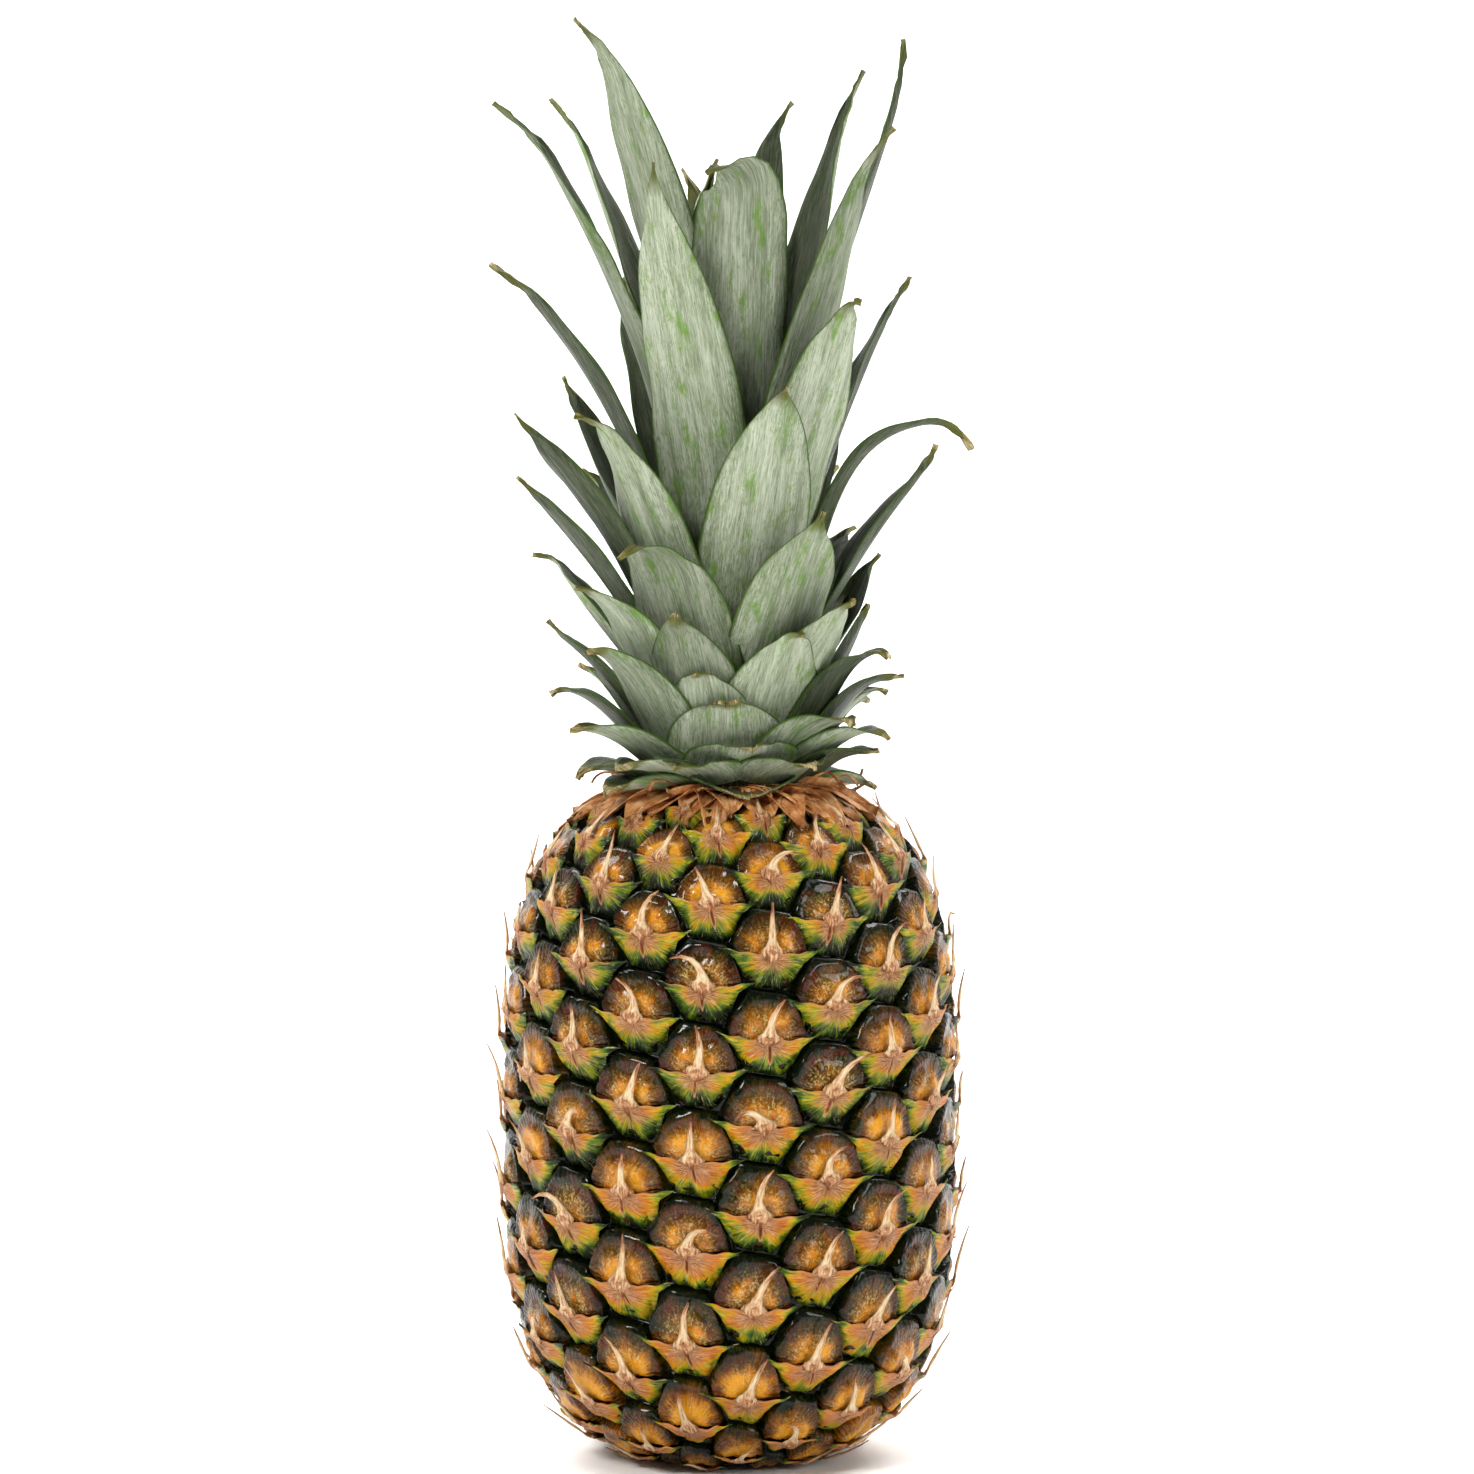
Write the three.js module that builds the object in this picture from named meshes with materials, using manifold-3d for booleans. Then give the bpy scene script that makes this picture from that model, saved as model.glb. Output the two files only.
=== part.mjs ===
// A whole ripe pineapple with its crown, standing on its own base.
// Millimetres, +Z up. The origin is the centre of the flat spot that the fruit stands on.
// Azimuths are in degrees, from the front (-Y) towards the right (+X).

import * as THREE from "three";
import { mergeVertices } from "three/addons/utils/BufferGeometryUtils.js";
import Module from "manifold-3d";

// Driving dimensions of the fruit
const FRUIT_RADIUS = 58;
const FRUIT_HEIGHT = 172.6;
const WIDEST_HEIGHT = 82;
const TOP_REACH = 92; // from the widest height up to where the top curve would close
const BASE_REACH = 83; // and down to where the base curve would close
const TOP_POWER = 3.5; // superellipse powers: higher is squarer in the shoulder
const BASE_POWER = 2.9;

// The fruitlets, in the spirals that the real fruit has: 8 one way and 13 the other
const DIVERGENCE = 137.2; // turn from one fruitlet to the next one up
const GENTLE = 8;
const STEEP = 13;
const RISE = 1.07; // height gained from one fruitlet to the next at the widest height
const RISE_CHANGES = [
  [0, 1.2], // the fruitlets near the base are taller
  [27, 1.16],
  [WIDEST_HEIGHT, 1],
  [143, 0.94], // and near the top flatter
  [FRUIT_HEIGHT, 0.9],
];
const CELL_SHRINK = 0.35; // how fast fruitlets shrink with the radius towards both ends
const FRONT_HEIGHT = 117.3; // one fruitlet is centred here
const FRONT_AZIMUTH = 9.6;
const LOWEST_RADIUS = 20; // the lowest fruitlets are centred here, round the flat spot
const HIGHEST_RADIUS = 27; // and the highest here, round the crown
const FLAT_FADE = [17, 26]; // the relief grows from nothing between these radii
const GROOVE_DEPTH = 3.2;

// The crown
const GAP = 0.3; // between solids that touch
const SLACK = 0.1; // how far a fused or cut surface may shift where its slivers are merged
const CORE_RADII = [
  [0, 21.5],
  [10, 22.5],
  [25, 20.5],
  [40, 16.5],
  [55, 11.5],
  [68, 6.5],
  [76, 2.5],
];
const CORE_SIDES = 12;
const ROOT_SUNK = 2.5; // how deep a leaf's root goes into the core
const GOLDEN_TURN = 137.5;

const clamp = THREE.MathUtils.clamp;
const radians = THREE.MathUtils.degToRad;

// A value read off a list of [x, y] knots by straight lines.
function alongKnots(knots, x) {
  const last = knots.length - 1;
  if (x <= knots[0][0]) return knots[0][1];
  if (x >= knots[last][0]) return knots[last][1];
  const i = knots.findIndex((knot) => knot[0] > x);
  const [x0, y0] = knots[i - 1];
  const [x1, y1] = knots[i];
  return y0 + ((y1 - y0) * (x - x0)) / (x1 - x0);
}

// A repeatable number from 0 to 1 for each pair of counters.
function chance(index, salt) {
  const wave = Math.sin(index * 12.9898 + salt * 78.233) * 43758.5453;
  return wave - Math.floor(wave);
}

// The fruit's outline, walked from the base's pole to the top's: [length walked, radius, height, index].
// The index counts fruitlets: it grows by one for each fruitlet that the surface has room for.
const OUTLINE_STEPS = 3000;
const outline = makeOutline();

function outlinePoint(t) {
  const [reach, power] = t < 0 ? [BASE_REACH, BASE_POWER] : [TOP_REACH, TOP_POWER];
  const radius = FRUIT_RADIUS * Math.cos(t) ** (2 / power);
  const height = WIDEST_HEIGHT + Math.sign(t) * reach * Math.abs(Math.sin(t)) ** (2 / power);
  return [Math.max(radius, 0), height];
}

function makeOutline() {
  const points = [];
  let walked = 0;
  let index = 0;
  for (let i = 0; i <= OUTLINE_STEPS; i++) {
    const t = (i / OUTLINE_STEPS - 0.5) * Math.PI;
    const [radius, height] = outlinePoint(t);
    if (i > 0) {
      const before = points[i - 1];
      const step = Math.hypot(radius - before.radius, height - before.height);
      const share = Math.max((radius + before.radius) / 2 / FRUIT_RADIUS, 1e-3);
      const change = alongKnots(RISE_CHANGES, (height + before.height) / 2);
      walked += step;
      index += step / (RISE * change * share ** CELL_SHRINK);
    }
    points.push({ walked, radius, height, index });
  }
  const front = points.find((p) => p.height >= FRONT_HEIGHT).index;
  for (const p of points) p.index -= front;
  return points;
}

// The outline at an index: radius, height and the outward direction there.
function outlineAt(index) {
  let low = 0;
  let high = outline.length - 1;
  const wanted = clamp(index, outline[0].index, outline[high].index);
  while (high - low > 1) {
    const middle = (low + high) >> 1;
    if (outline[middle].index <= wanted) low = middle;
    else high = middle;
  }
  const a = outline[low];
  const b = outline[high];
  const share = (wanted - a.index) / (b.index - a.index || 1);
  const length = Math.hypot(b.radius - a.radius, b.height - a.height) || 1;
  return {
    radius: a.radius + share * (b.radius - a.radius),
    height: a.height + share * (b.height - a.height),
    outR: (b.height - a.height) / length,
    outZ: -(b.radius - a.radius) / length,
  };
}

// A point of the fruit's skin, raised above the outline by relief. The base and the top are cut flat.
function skinPoint(azimuth, index, relief) {
  const p = outlineAt(index);
  const fade = THREE.MathUtils.smoothstep(p.radius, FLAT_FADE[0], FLAT_FADE[1]);
  const size = Math.sqrt(p.radius / FRUIT_RADIUS);
  const rise = relief * fade * size;
  const radius = p.radius + rise * p.outR;
  const height = clamp(p.height + rise * p.outZ, 0, FRUIT_HEIGHT);
  const turn = radians(azimuth);
  return new THREE.Vector3(radius * Math.sin(turn), -radius * Math.cos(turn), height);
}

// One fruitlet's points, each [across, up, relief] in millimetres at the widest height, from its centre.
// The eye is the shield above the lip, the bract is the scale below it, and the thorn rises from the lip.
const FRUITLET_POINTS = {
  eyeLeft: [-7.6, 3.4, -0.4],
  eyeTopLeft: [-4.6, 8.0, -0.5],
  eyeTopRight: [5.2, 7.2, -0.5],
  eyeRight: [7.9, 2.2, -0.4],
  eyeMiddle: [0, 3.6, 0.2],
  lipLeft: [-6.2, -1.2, 0.7],
  lipRight: [6.4, -2.3, 0.7],
  thornLeft: [-1.6, -1.9, 1.3],
  thornRight: [1.8, -2.1, 1.3],
  thornUp: [0, -0.4, 0.6],
  thornTip: [0, 7.4, 3.3],
  bractLeft: [-3.6, -6.6, -1.0],
  bractRight: [2.8, -7.2, -1.0],
};

// Its triangles, each seen from outside and turning to the left.
const FRUITLET_FACES = [
  "right topRight eyeRight",
  "topRight eyeTopRight eyeRight",
  "topRight topLeft eyeTopRight",
  "topLeft eyeTopLeft eyeTopRight",
  "topLeft left eyeTopLeft",
  "left eyeLeft eyeTopLeft",
  "eyeMiddle eyeRight eyeTopRight",
  "eyeMiddle eyeTopRight eyeTopLeft",
  "eyeMiddle eyeTopLeft eyeLeft",
  "eyeMiddle eyeLeft lipLeft",
  "eyeMiddle lipLeft thornUp",
  "eyeMiddle thornUp lipRight",
  "eyeMiddle lipRight eyeRight",
  "thornUp thornRight lipRight",
  "lipLeft thornLeft thornUp",
  "thornUp thornLeft thornTip",
  "thornLeft thornRight thornTip",
  "thornRight thornUp thornTip",
  "left lipLeft eyeLeft",
  "right eyeRight lipRight",
  "left bottomLeft bractLeft",
  "left bractLeft lipLeft",
  "lipLeft bractLeft thornLeft",
  "thornLeft bractLeft bractRight",
  "thornLeft bractRight thornRight",
  "thornRight bractRight lipRight",
  "lipRight bractRight right",
  "right bractRight bottomRight",
  "bractLeft bottomLeft bottomRight",
  "bractLeft bottomRight bractRight",
].map((face) => face.split(" "));

// The six corners where fruitlets meet, as [azimuth, index] from the centre: each is the middle of three fruitlets.
function fruitletCorners() {
  const near = (turns) => turns - 360 * Math.round(turns / 360);
  const gentle = [near(GENTLE * DIVERGENCE), GENTLE];
  const steep = [near(STEEP * DIVERGENCE), STEEP];
  const both = [gentle[0] + steep[0], gentle[1] + steep[1]];
  const middle = (a, b, side) => [(side * (a[0] + b[0])) / 3, (side * (a[1] + b[1])) / 3];
  const back = [-steep[0], -steep[1]];
  return {
    topRight: middle(gentle, both, 1),
    topLeft: middle(steep, both, 1),
    right: middle(gentle, back, 1),
    bottomLeft: middle(gentle, both, -1),
    bottomRight: middle(steep, both, -1),
    left: middle(gentle, back, -1),
  };
}

// The first and last fruitlet, counted from the one at the front.
function fruitletRange() {
  const low = outline.find((p) => p.radius >= LOWEST_RADIUS);
  const high = outline.findLast((p) => p.radius >= HIGHEST_RADIUS);
  return [Math.ceil(low.index), Math.floor(high.index)];
}

// The fruit's skin as one surface of fruitlets, open only at the two flat ends.
function fruitSkin() {
  const corners = fruitletCorners();
  const acrossToAzimuth = 180 / Math.PI / FRUIT_RADIUS;
  const [first, last] = fruitletRange();
  const positions = [];
  for (let n = first; n <= last; n++) {
    const azimuth = FRONT_AZIMUTH + n * DIVERGENCE;
    const swell = 0.8 + 0.4 * chance(n, 1);
    const sway = 2.4 * (chance(n, 2) - 0.5);
    const place = {};
    for (const [name, [turn, up]] of Object.entries(corners)) {
      place[name] = skinPoint(azimuth + turn, n + up, -GROOVE_DEPTH);
    }
    for (const [name, [across, up, relief]] of Object.entries(FRUITLET_POINTS)) {
      const aside = name === "thornTip" ? across + sway : across;
      place[name] = skinPoint(azimuth + aside * acrossToAzimuth, n + up / RISE, relief * swell);
    }
    for (const face of FRUITLET_FACES) {
      for (const name of face) positions.push(...place[name].toArray());
    }
  }
  const geometry = new THREE.BufferGeometry();
  geometry.setAttribute("position", new THREE.Float32BufferAttribute(positions, 3));
  return mergeVertices(geometry, 1e-3);
}

// The open edges of a surface, chained into loops that run the way a closing face needs.
function openLoops(index) {
  const edges = new Map();
  for (let i = 0; i < index.length; i += 3) {
    for (let j = 0; j < 3; j++) {
      const a = index[i + j];
      const b = index[i + ((j + 1) % 3)];
      if (!edges.delete(`${b} ${a}`)) edges.set(`${a} ${b}`, [b, a]);
    }
  }
  const next = new Map(edges.values());
  const loops = [];
  while (next.size) {
    const loop = [];
    let at = next.keys().next().value;
    while (next.has(at)) {
      loop.push(at);
      const to = next.get(at);
      next.delete(at);
      at = to;
    }
    loops.push(loop);
  }
  return loops;
}

// The whole fruit: its skin with both flat ends filled in.
function fruitGeometry() {
  const skin = fruitSkin();
  const position = skin.getAttribute("position");
  const index = Array.from(skin.index.array);
  for (const loop of openLoops(index)) {
    const flat = loop.map((i) => new THREE.Vector2(position.getX(i), position.getY(i)));
    const isTop = position.getZ(loop[0]) > WIDEST_HEIGHT;
    for (const [a, b, c] of THREE.ShapeUtils.triangulateShape(flat, [])) {
      const facesUp = THREE.ShapeUtils.area([flat[a], flat[b], flat[c]]) > 0;
      const face = facesUp === isTop ? [a, b, c] : [a, c, b];
      index.push(...face.map((i) => loop[i]));
    }
  }
  skin.setIndex(index);
  return skin;
}

// The crown's leaves

// Each line is a leaf seen from the front: [azimuth, tip's distance from the axis, tip's height above the
// crown's base, width, lean at the root, lean at the tip, twist, fullness where the tip is blunt].
// A lean is in degrees from upright.
const SHORT_FRONT = [
  [-50, 43, 3, 24, 70, 98, 0],
  [8, 34, 2, 30, 62, 85, 0],
  [-66, 44, 7, 24, 64, 108, 0],
  [-40, 45, 9, 25, 58, 98, 0],
  [-20, 40, 11, 28, 50, 75, 0],
  [32, 41, 11, 28, 50, 78, 0],
  [66, 42, 12, 24, 58, 98, 0],
  [9, 36, 16, 33, 38, 62, 0],
  [62, 47, 18, 26, 50, 95, 0],
  [-58, 48, 19, 26, 48, 88, 0],
  [44, 47, 22, 27, 42, 90, 0],
  [-2, 33, 28, 34, 24, 32, 0],
  [-84, 47, 29, 24, 46, 80, 0],
  [78, 46, 31, 22, 44, 95, 0],
  [-14, 33, 36, 28, 20, 28, 0],
  [66, 46, 39, 25, 38, 88, 0],
  [-50, 47, 40, 28, 36, 74, 0],
  [-88, 48, 45, 22, 36, 52, 0],
  [26, 40, 46, 30, 26, 36, 0],
  [-22, 40, 49, 29, 26, 44, 0],
  [84, 36, 50, 25, 26, 18, 0],
  [44, 44, 54, 27, 26, 36, 0],
  [-52, 49, 56, 27, 32, 66, 0],
];
const LONG_FRONT = [
  [118, 42, 63, 20, 26, 10, 0],
  [-96, 48, 67, 18, 26, 22, 10],
  [-30, 47, 71, 31, 24, 52, 0],
  [30, 47, 74, 28, 24, 36, 8],
  [-78, 56, 83, 20, 26, 44, -14],
  [-125, 44, 86, 18, 22, 30, 16],
  [140, 40, 87, 17, 22, 24, 0],
  [102, 57, 90, 23, 28, 42, 12],
  [82, 66, 96, 17, 13, 102, 0],
  [-68, 60, 99, 19, 24, 46, -18],
  [-46, 49, 103, 26, 20, 34, 10],
  [16, 50, 108, 31, 16, 30, 0],
  [-112, 47, 109, 21, 18, 24, 14],
  [40, 48, 131, 26, 14, 18, -6, 8],
  [104, 48, 136, 23, 14, 26, 12],
  [-86, 60, 140, 21, 11, 40, -14],
  [-24, 50, 162, 29, 9, 20, 4],
  [-165, 30, 166, 18, 8, 8, 0],
  [6, 33, 172, 27, 6, 10, 0, 12],
  [54, 45, 174, 24, 8, 12, -8],
  [-76, 58, 182, 24, 9, 30, 24],
  [158, 31, 183, 21, 7, 14, 0],
  [-118, 51, 185, 20, 8, 24, -20],
  [126, 40, 189, 25, 7, 14, 20],
  [76, 48, 195, 21, 7, 12, -20],
  [-48, 48, 204, 27, 6, 24, -6],
];

// The leaves of the back, which follow the spiral: the golden turn, folded into the back's sector.
function backLeaf(i, count, sector, low, high) {
  const share = (i + 0.5) / count;
  const azimuth = 180 + ((i * GOLDEN_TURN) % sector) - sector / 2;
  const height = low + (high - low) * share ** 1.15;
  const lean = alongKnots([[0, 66], [30, 44], [60, 26], [110, 16], [200, 7]], height);
  const bend = alongKnots([[0, 98], [30, 80], [60, 48], [110, 30], [200, 18]], height);
  const reach = alongKnots([[0, 40], [20, 45], [60, 42], [90, 47], [150, 46], [200, 38]], height);
  return [azimuth, reach + 6 * (chance(i, 3) - 0.5), height, 26 - 4 * chance(i, 4), lean, bend, 0];
}
const SHORT_BACK = Array.from({ length: 14 }, (_, i) => backLeaf(i, 14, 160, 1, 56));
const LONG_BACK = Array.from({ length: 8 }, (_, i) => backLeaf(i, 8, 100, 66, 172));

// The dry bracts round the crown's foot, which hide where it joins the fruit.
const COLLAR = Array.from({ length: 11 }, (_, i) => [
  (360 / 11) * (i + 0.4 * chance(i, 5)),
  30 + 5 * chance(i, 6),
  1.5 + 5.5 * chance(i, 7),
  17,
  66 - 12 * chance(i, 8),
  64 + 36 * chance(i, 9),
  0,
]);

// A leaf with a higher tip is rooted higher on the core.
const ROOT_HEIGHTS = [
  [0, 1.2],
  [10, 2.8],
  [30, 9],
  [50, 16],
  [75, 26],
  [108, 37],
  [165, 51],
  [205, 60],
];

// A leaf's line through the air: a cubic curve from the core to the tip, by its lean at each end.
function leafLine([azimuth, reach, height, , rootLean, tipLean]) {
  const turn = radians(azimuth);
  const rootHeight = alongKnots(ROOT_HEIGHTS, height);
  const place = (r, z) => new THREE.Vector3(r * Math.sin(turn), -r * Math.cos(turn), z);
  const root = [alongKnots(CORE_RADII, rootHeight) - ROOT_SUNK, rootHeight];
  const tip = [reach, height];
  const hold = (0.34 + 0.0015 * Math.abs(tipLean - rootLean)) * Math.hypot(tip[0] - root[0], tip[1] - root[1]);
  const [a, b] = [radians(rootLean), radians(tipLean)];
  return new THREE.CubicBezierCurve3(
    place(...root),
    place(root[0] + hold * Math.sin(a), root[1] + hold * Math.cos(a)),
    place(tip[0] - hold * Math.sin(b), tip[1] - hold * Math.cos(b)),
    place(...tip),
  );
}

// A leaf as a closed blade: sections across a gutter, from the root to the tip.
// extra thickens it all round, for the room that its neighbours are cut to.
function leafGeometry(leaf, steps, across, taper, extra = 0) {
  const [azimuth, , , width, , , twist, fullness = taper[0]] = leaf;
  const line = leafLine(leaf);
  const turn = radians(azimuth);
  const sideways = new THREE.Vector3(Math.cos(turn), Math.sin(turn), 0);
  const rings = [];
  for (let i = 0; i <= steps; i++) {
    const s = i / steps;
    const along = line.getTangent(s);
    const roll = radians(twist) * s * s;
    const side = sideways.clone().addScaledVector(along, -sideways.dot(along)).normalize();
    side.applyAxisAngle(along, roll);
    const out = new THREE.Vector3().crossVectors(side, along);
    const middle = line.getPoint(s).addScaledVector(along, i === steps ? extra : i ? 0 : -extra);
    const wide = Math.max(width * (1 - s ** fullness) ** taper[1], 1.2) + 2 * extra;
    const gutter = alongKnots([[0, 0.72], [0.25, 0.55], [0.8, 0.6], [1, 0.9]], s);
    const bend = wide / 2 / gutter;
    const thick = alongKnots([[0, 2.0], [0.3, 1.5], [1, 0.9]], s);
    const outer = [];
    const inner = [];
    for (let j = 0; j < across; j++) {
      const v = (2 * j) / (across - 1) - 1;
      const face = out.clone().multiplyScalar(Math.cos(v * gutter)).addScaledVector(side, Math.sin(v * gutter));
      const point = middle.clone().addScaledVector(face, bend).addScaledVector(out, -bend);
      const half = (thick * (1 - 0.45 * v * v)) / 2 + extra;
      outer.push(point.clone().addScaledVector(face, half));
      inner.push(point.clone().addScaledVector(face, -half));
    }
    rings.push([outer, inner]);
  }
  return bladeGeometry(rings, across);
}

// Joins the rings of a blade. Both faces are split along the same diagonals, so that they never cross.
function bladeGeometry(rings, across) {
  const positions = [];
  const quad = (a, b, c, d) => {
    for (const p of [a, b, c, a, c, d]) positions.push(p.x, p.y, p.z);
  };
  for (let i = 0; i + 1 < rings.length; i++) {
    const [outer, inner] = rings[i];
    const [outerNext, innerNext] = rings[i + 1];
    for (let j = 0; j + 1 < across; j++) {
      quad(outer[j], outer[j + 1], outerNext[j + 1], outerNext[j]);
      quad(innerNext[j + 1], inner[j + 1], inner[j], innerNext[j]);
    }
    const e = across - 1;
    quad(inner[0], outer[0], outerNext[0], innerNext[0]);
    quad(outer[e], inner[e], innerNext[e], outerNext[e]);
  }
  const [rootOuter, rootInner] = rings[0];
  const [tipOuter, tipInner] = rings[rings.length - 1];
  for (let j = 0; j + 1 < across; j++) {
    quad(rootInner[j], rootInner[j + 1], rootOuter[j + 1], rootOuter[j]);
    quad(tipOuter[j], tipOuter[j + 1], tipInner[j + 1], tipInner[j]);
  }
  const geometry = new THREE.BufferGeometry();
  geometry.setAttribute("position", new THREE.Float32BufferAttribute(positions, 3));
  return geometry;
}

// The core that the leaves grow from, turned from its list of radii. It stands on the fruit's flat top.
function coreGeometry(extra = 0) {
  const points = [new THREE.Vector2(0, -extra)];
  for (const [height, radius] of CORE_RADII) {
    points.push(new THREE.Vector2(radius + extra, height ? height : -extra));
  }
  points.push(new THREE.Vector2(0, CORE_RADII.at(-1)[0] + 1 + extra));
  return new THREE.LatheGeometry(points, CORE_SIDES).rotateX(Math.PI / 2);
}

const wasm = await Module();
wasm.setup();

// A closed geometry as a manifold-3d solid.
function solidFrom(geometry) {
  const bare = new THREE.BufferGeometry();
  bare.setAttribute("position", geometry.getAttribute("position"));
  if (geometry.index) bare.setIndex(geometry.index);
  const merged = mergeVertices(bare, 1e-4);
  return new wasm.Manifold(
    new wasm.Mesh({
      numProp: 3,
      vertProperties: merged.getAttribute("position").array,
      triVerts: new Uint32Array(merged.index.array),
    }),
  );
}

// A solid's largest body as a geometry. Scraps that a cut leaves loose are dropped, and slivers are merged.
function geometryFrom(solid) {
  const bodies = solid.simplify(SLACK).decompose();
  const largest = bodies.reduce((a, b) => (b.volume() > a.volume() ? b : a));
  const mesh = largest.getMesh();
  const geometry = new THREE.BufferGeometry();
  geometry.setAttribute("position", new THREE.BufferAttribute(new Float32Array(mesh.vertProperties), 3));
  geometry.setIndex(Array.from(mesh.triVerts));
  geometry.computeVertexNormals();
  return geometry;
}

const SHORT_STEPS = 4;
const SHORT_ACROSS = 3;
const SHORT_TAPER = [2.6, 1.0];
const LONG_STEPS = 7;
const LONG_ACROSS = 3;
const LONG_TAPER = [4.6, 1.35];

const shortLeaves = [...COLLAR, ...SHORT_FRONT, ...SHORT_BACK];
const longLeaves = [...LONG_FRONT, ...LONG_BACK].sort((a, b) => a[2] - b[2]);
const shortSolid = (leaf, extra) => solidFrom(leafGeometry(leaf, SHORT_STEPS, SHORT_ACROSS, SHORT_TAPER, extra));
const longSolid = (leaf, extra) => solidFrom(leafGeometry(leaf, LONG_STEPS, LONG_ACROSS, LONG_TAPER, extra));

// The core with the short leaves fused to it, and the room that the long leaves leave round it.
function crownStem(extra) {
  return shortLeaves.reduce((stem, leaf) => stem.add(shortSolid(leaf, extra)), solidFrom(coreGeometry(extra)));
}

// The long leaves, lowest first. Each is cut clear of the stem and of the leaves already placed.
function longLeafGeometries() {
  const room = crownStem(GAP);
  const placed = [];
  const made = [];
  for (const leaf of longLeaves) {
    let solid = longSolid(leaf, 0).subtract(room);
    for (const other of placed) {
      if (solid.intersect(other).volume() > 0) solid = solid.subtract(other);
    }
    placed.push(longSolid(leaf, GAP));
    made.push(geometryFrom(solid));
  }
  return made;
}

const rindMaterial = new THREE.MeshStandardMaterial({ color: 0x8a6a2c, roughness: 0.55, metalness: 0 });
const leafMaterial = new THREE.MeshStandardMaterial({ color: 0x8ea08a, roughness: 0.7, metalness: 0 });
const heartMaterial = new THREE.MeshStandardMaterial({ color: 0x7f9478, roughness: 0.7, metalness: 0 });

const pineapple = new THREE.Group();
const crown = new THREE.Group();
crown.position.z = FRUIT_HEIGHT + GAP;

function addMesh(group, name, geometry, material) {
  const mesh = new THREE.Mesh(geometry, material);
  mesh.name = name;
  group.add(mesh);
}

addMesh(pineapple, "fruit", fruitGeometry(), rindMaterial);
addMesh(crown, "crown_stem", geometryFrom(crownStem(0)), heartMaterial);
longLeafGeometries().forEach((geometry, i) => {
  addMesh(crown, `crown_leaf_${String(i + 1).padStart(2, "0")}`, geometry, leafMaterial);
});
pineapple.add(crown);

export default pineapple;
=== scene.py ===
import math

import bmesh
import bpy
import numpy as np
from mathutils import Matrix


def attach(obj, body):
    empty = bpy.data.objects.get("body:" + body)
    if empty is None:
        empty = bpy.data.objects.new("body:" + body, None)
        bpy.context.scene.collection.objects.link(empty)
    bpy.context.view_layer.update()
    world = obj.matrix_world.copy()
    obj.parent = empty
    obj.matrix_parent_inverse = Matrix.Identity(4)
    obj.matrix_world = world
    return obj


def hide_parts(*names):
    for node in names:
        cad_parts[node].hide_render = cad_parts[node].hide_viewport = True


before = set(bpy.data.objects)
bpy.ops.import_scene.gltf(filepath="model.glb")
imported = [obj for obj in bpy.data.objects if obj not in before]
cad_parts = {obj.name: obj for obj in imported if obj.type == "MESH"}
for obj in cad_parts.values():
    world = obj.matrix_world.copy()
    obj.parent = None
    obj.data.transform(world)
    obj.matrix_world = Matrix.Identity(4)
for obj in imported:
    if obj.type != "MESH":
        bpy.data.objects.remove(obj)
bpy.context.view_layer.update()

# A ripe pineapple with its crown. Shapes are worked out in millimetres, in the CAD's own frame and by the
# CAD's own formulas, and put into the meshes in metres. Azimuths run from the front (-Y) towards +X.
MM = 0.001
TURN = 6.28  # a full turn in radians, for the phase of a wave

# Driving dimensions of the fruit, as in the CAD
FRUIT_RADIUS = 58
FRUIT_HEIGHT = 172.6
WIDEST_HEIGHT = 82
TOP_REACH = 92
BASE_REACH = 83
TOP_POWER = 3.5
BASE_POWER = 2.9
OUTLINE_STEPS = 3000

# The fruitlets, on 8 spirals one way and 13 the other
DIVERGENCE = 137.2
GENTLE = 8
STEEP = 13
RISE = 1.07
RISE_CHANGES = ([0, 27, WIDEST_HEIGHT, 143, FRUIT_HEIGHT], [1.2, 1.16, 1, 0.94, 0.9])
CELL_SHRINK = 0.35
FRONT_HEIGHT = 117.3
FRONT_AZIMUTH = 9.6
LOWEST_RADIUS = 20
HIGHEST_RADIUS = 27
FLAT_FADE = (17, 26)
GROOVE_DEPTH = 3.2
LIP_HEIGHT = -1.8  # where a fruitlet's lip is, from its centre
BRACT_DEPTH = 10.3  # from the lip down to the groove
THORN_LENGTH = 10
WORN_RADIUS = 24  # nearer to the axis than this, the fruitlets underneath have lost their bract and thorn
CEILING = FRUIT_HEIGHT + 6  # the highest that a point on the fruit may go
SCAR_LIFT = 0.3  # the rind is clear of the floor by this much, round the stalk's scar

# The crown, as in the CAD
GAP = 0.3
CROWN_FOOT = FRUIT_HEIGHT + GAP
CORE_HEIGHTS = [0, 10, 25, 40, 55, 68, 76]
CORE_RADII = [21.5, 22.5, 20.5, 16.5, 11.5, 6.5, 2.5]
ROOT_SUNK = 2.5
GOLDEN_TURN = 137.5
ROOT_HEIGHTS = ([0, 10, 30, 50, 75, 108, 165, 205], [1.2, 2.8, 9, 16, 26, 37, 51, 60])


def chance(index, salt):
    """A repeatable number from 0 to 1: the fraction of a large sine of both counters."""
    wave = np.sin(np.asarray(index) * 12.9898 + salt * 78.233) * 43758.5453
    return wave - np.floor(wave)


def smoothstep(low, high, x):
    """0 below low, 1 above high, and 3t^2 - 2t^3 between them."""
    t = np.clip((x - low) / (high - low), 0, 1)
    return t * t * (3 - 2 * t)


def ripple(x, y, salt):
    """A smooth uneven wave from -1 to 1 over two parameters: the mean of three sines that cross."""
    phase = TURN * salt
    steep_wave = np.sin(x + 0.7 * y + phase)
    cross_wave = np.sin(1.7 * x - 1.1 * y + 2.3 * phase)
    flat_wave = np.sin(0.6 * x + 2.1 * y - phase)
    return (steep_wave + cross_wave + flat_wave) / 3


# The fruit's outline

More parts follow.
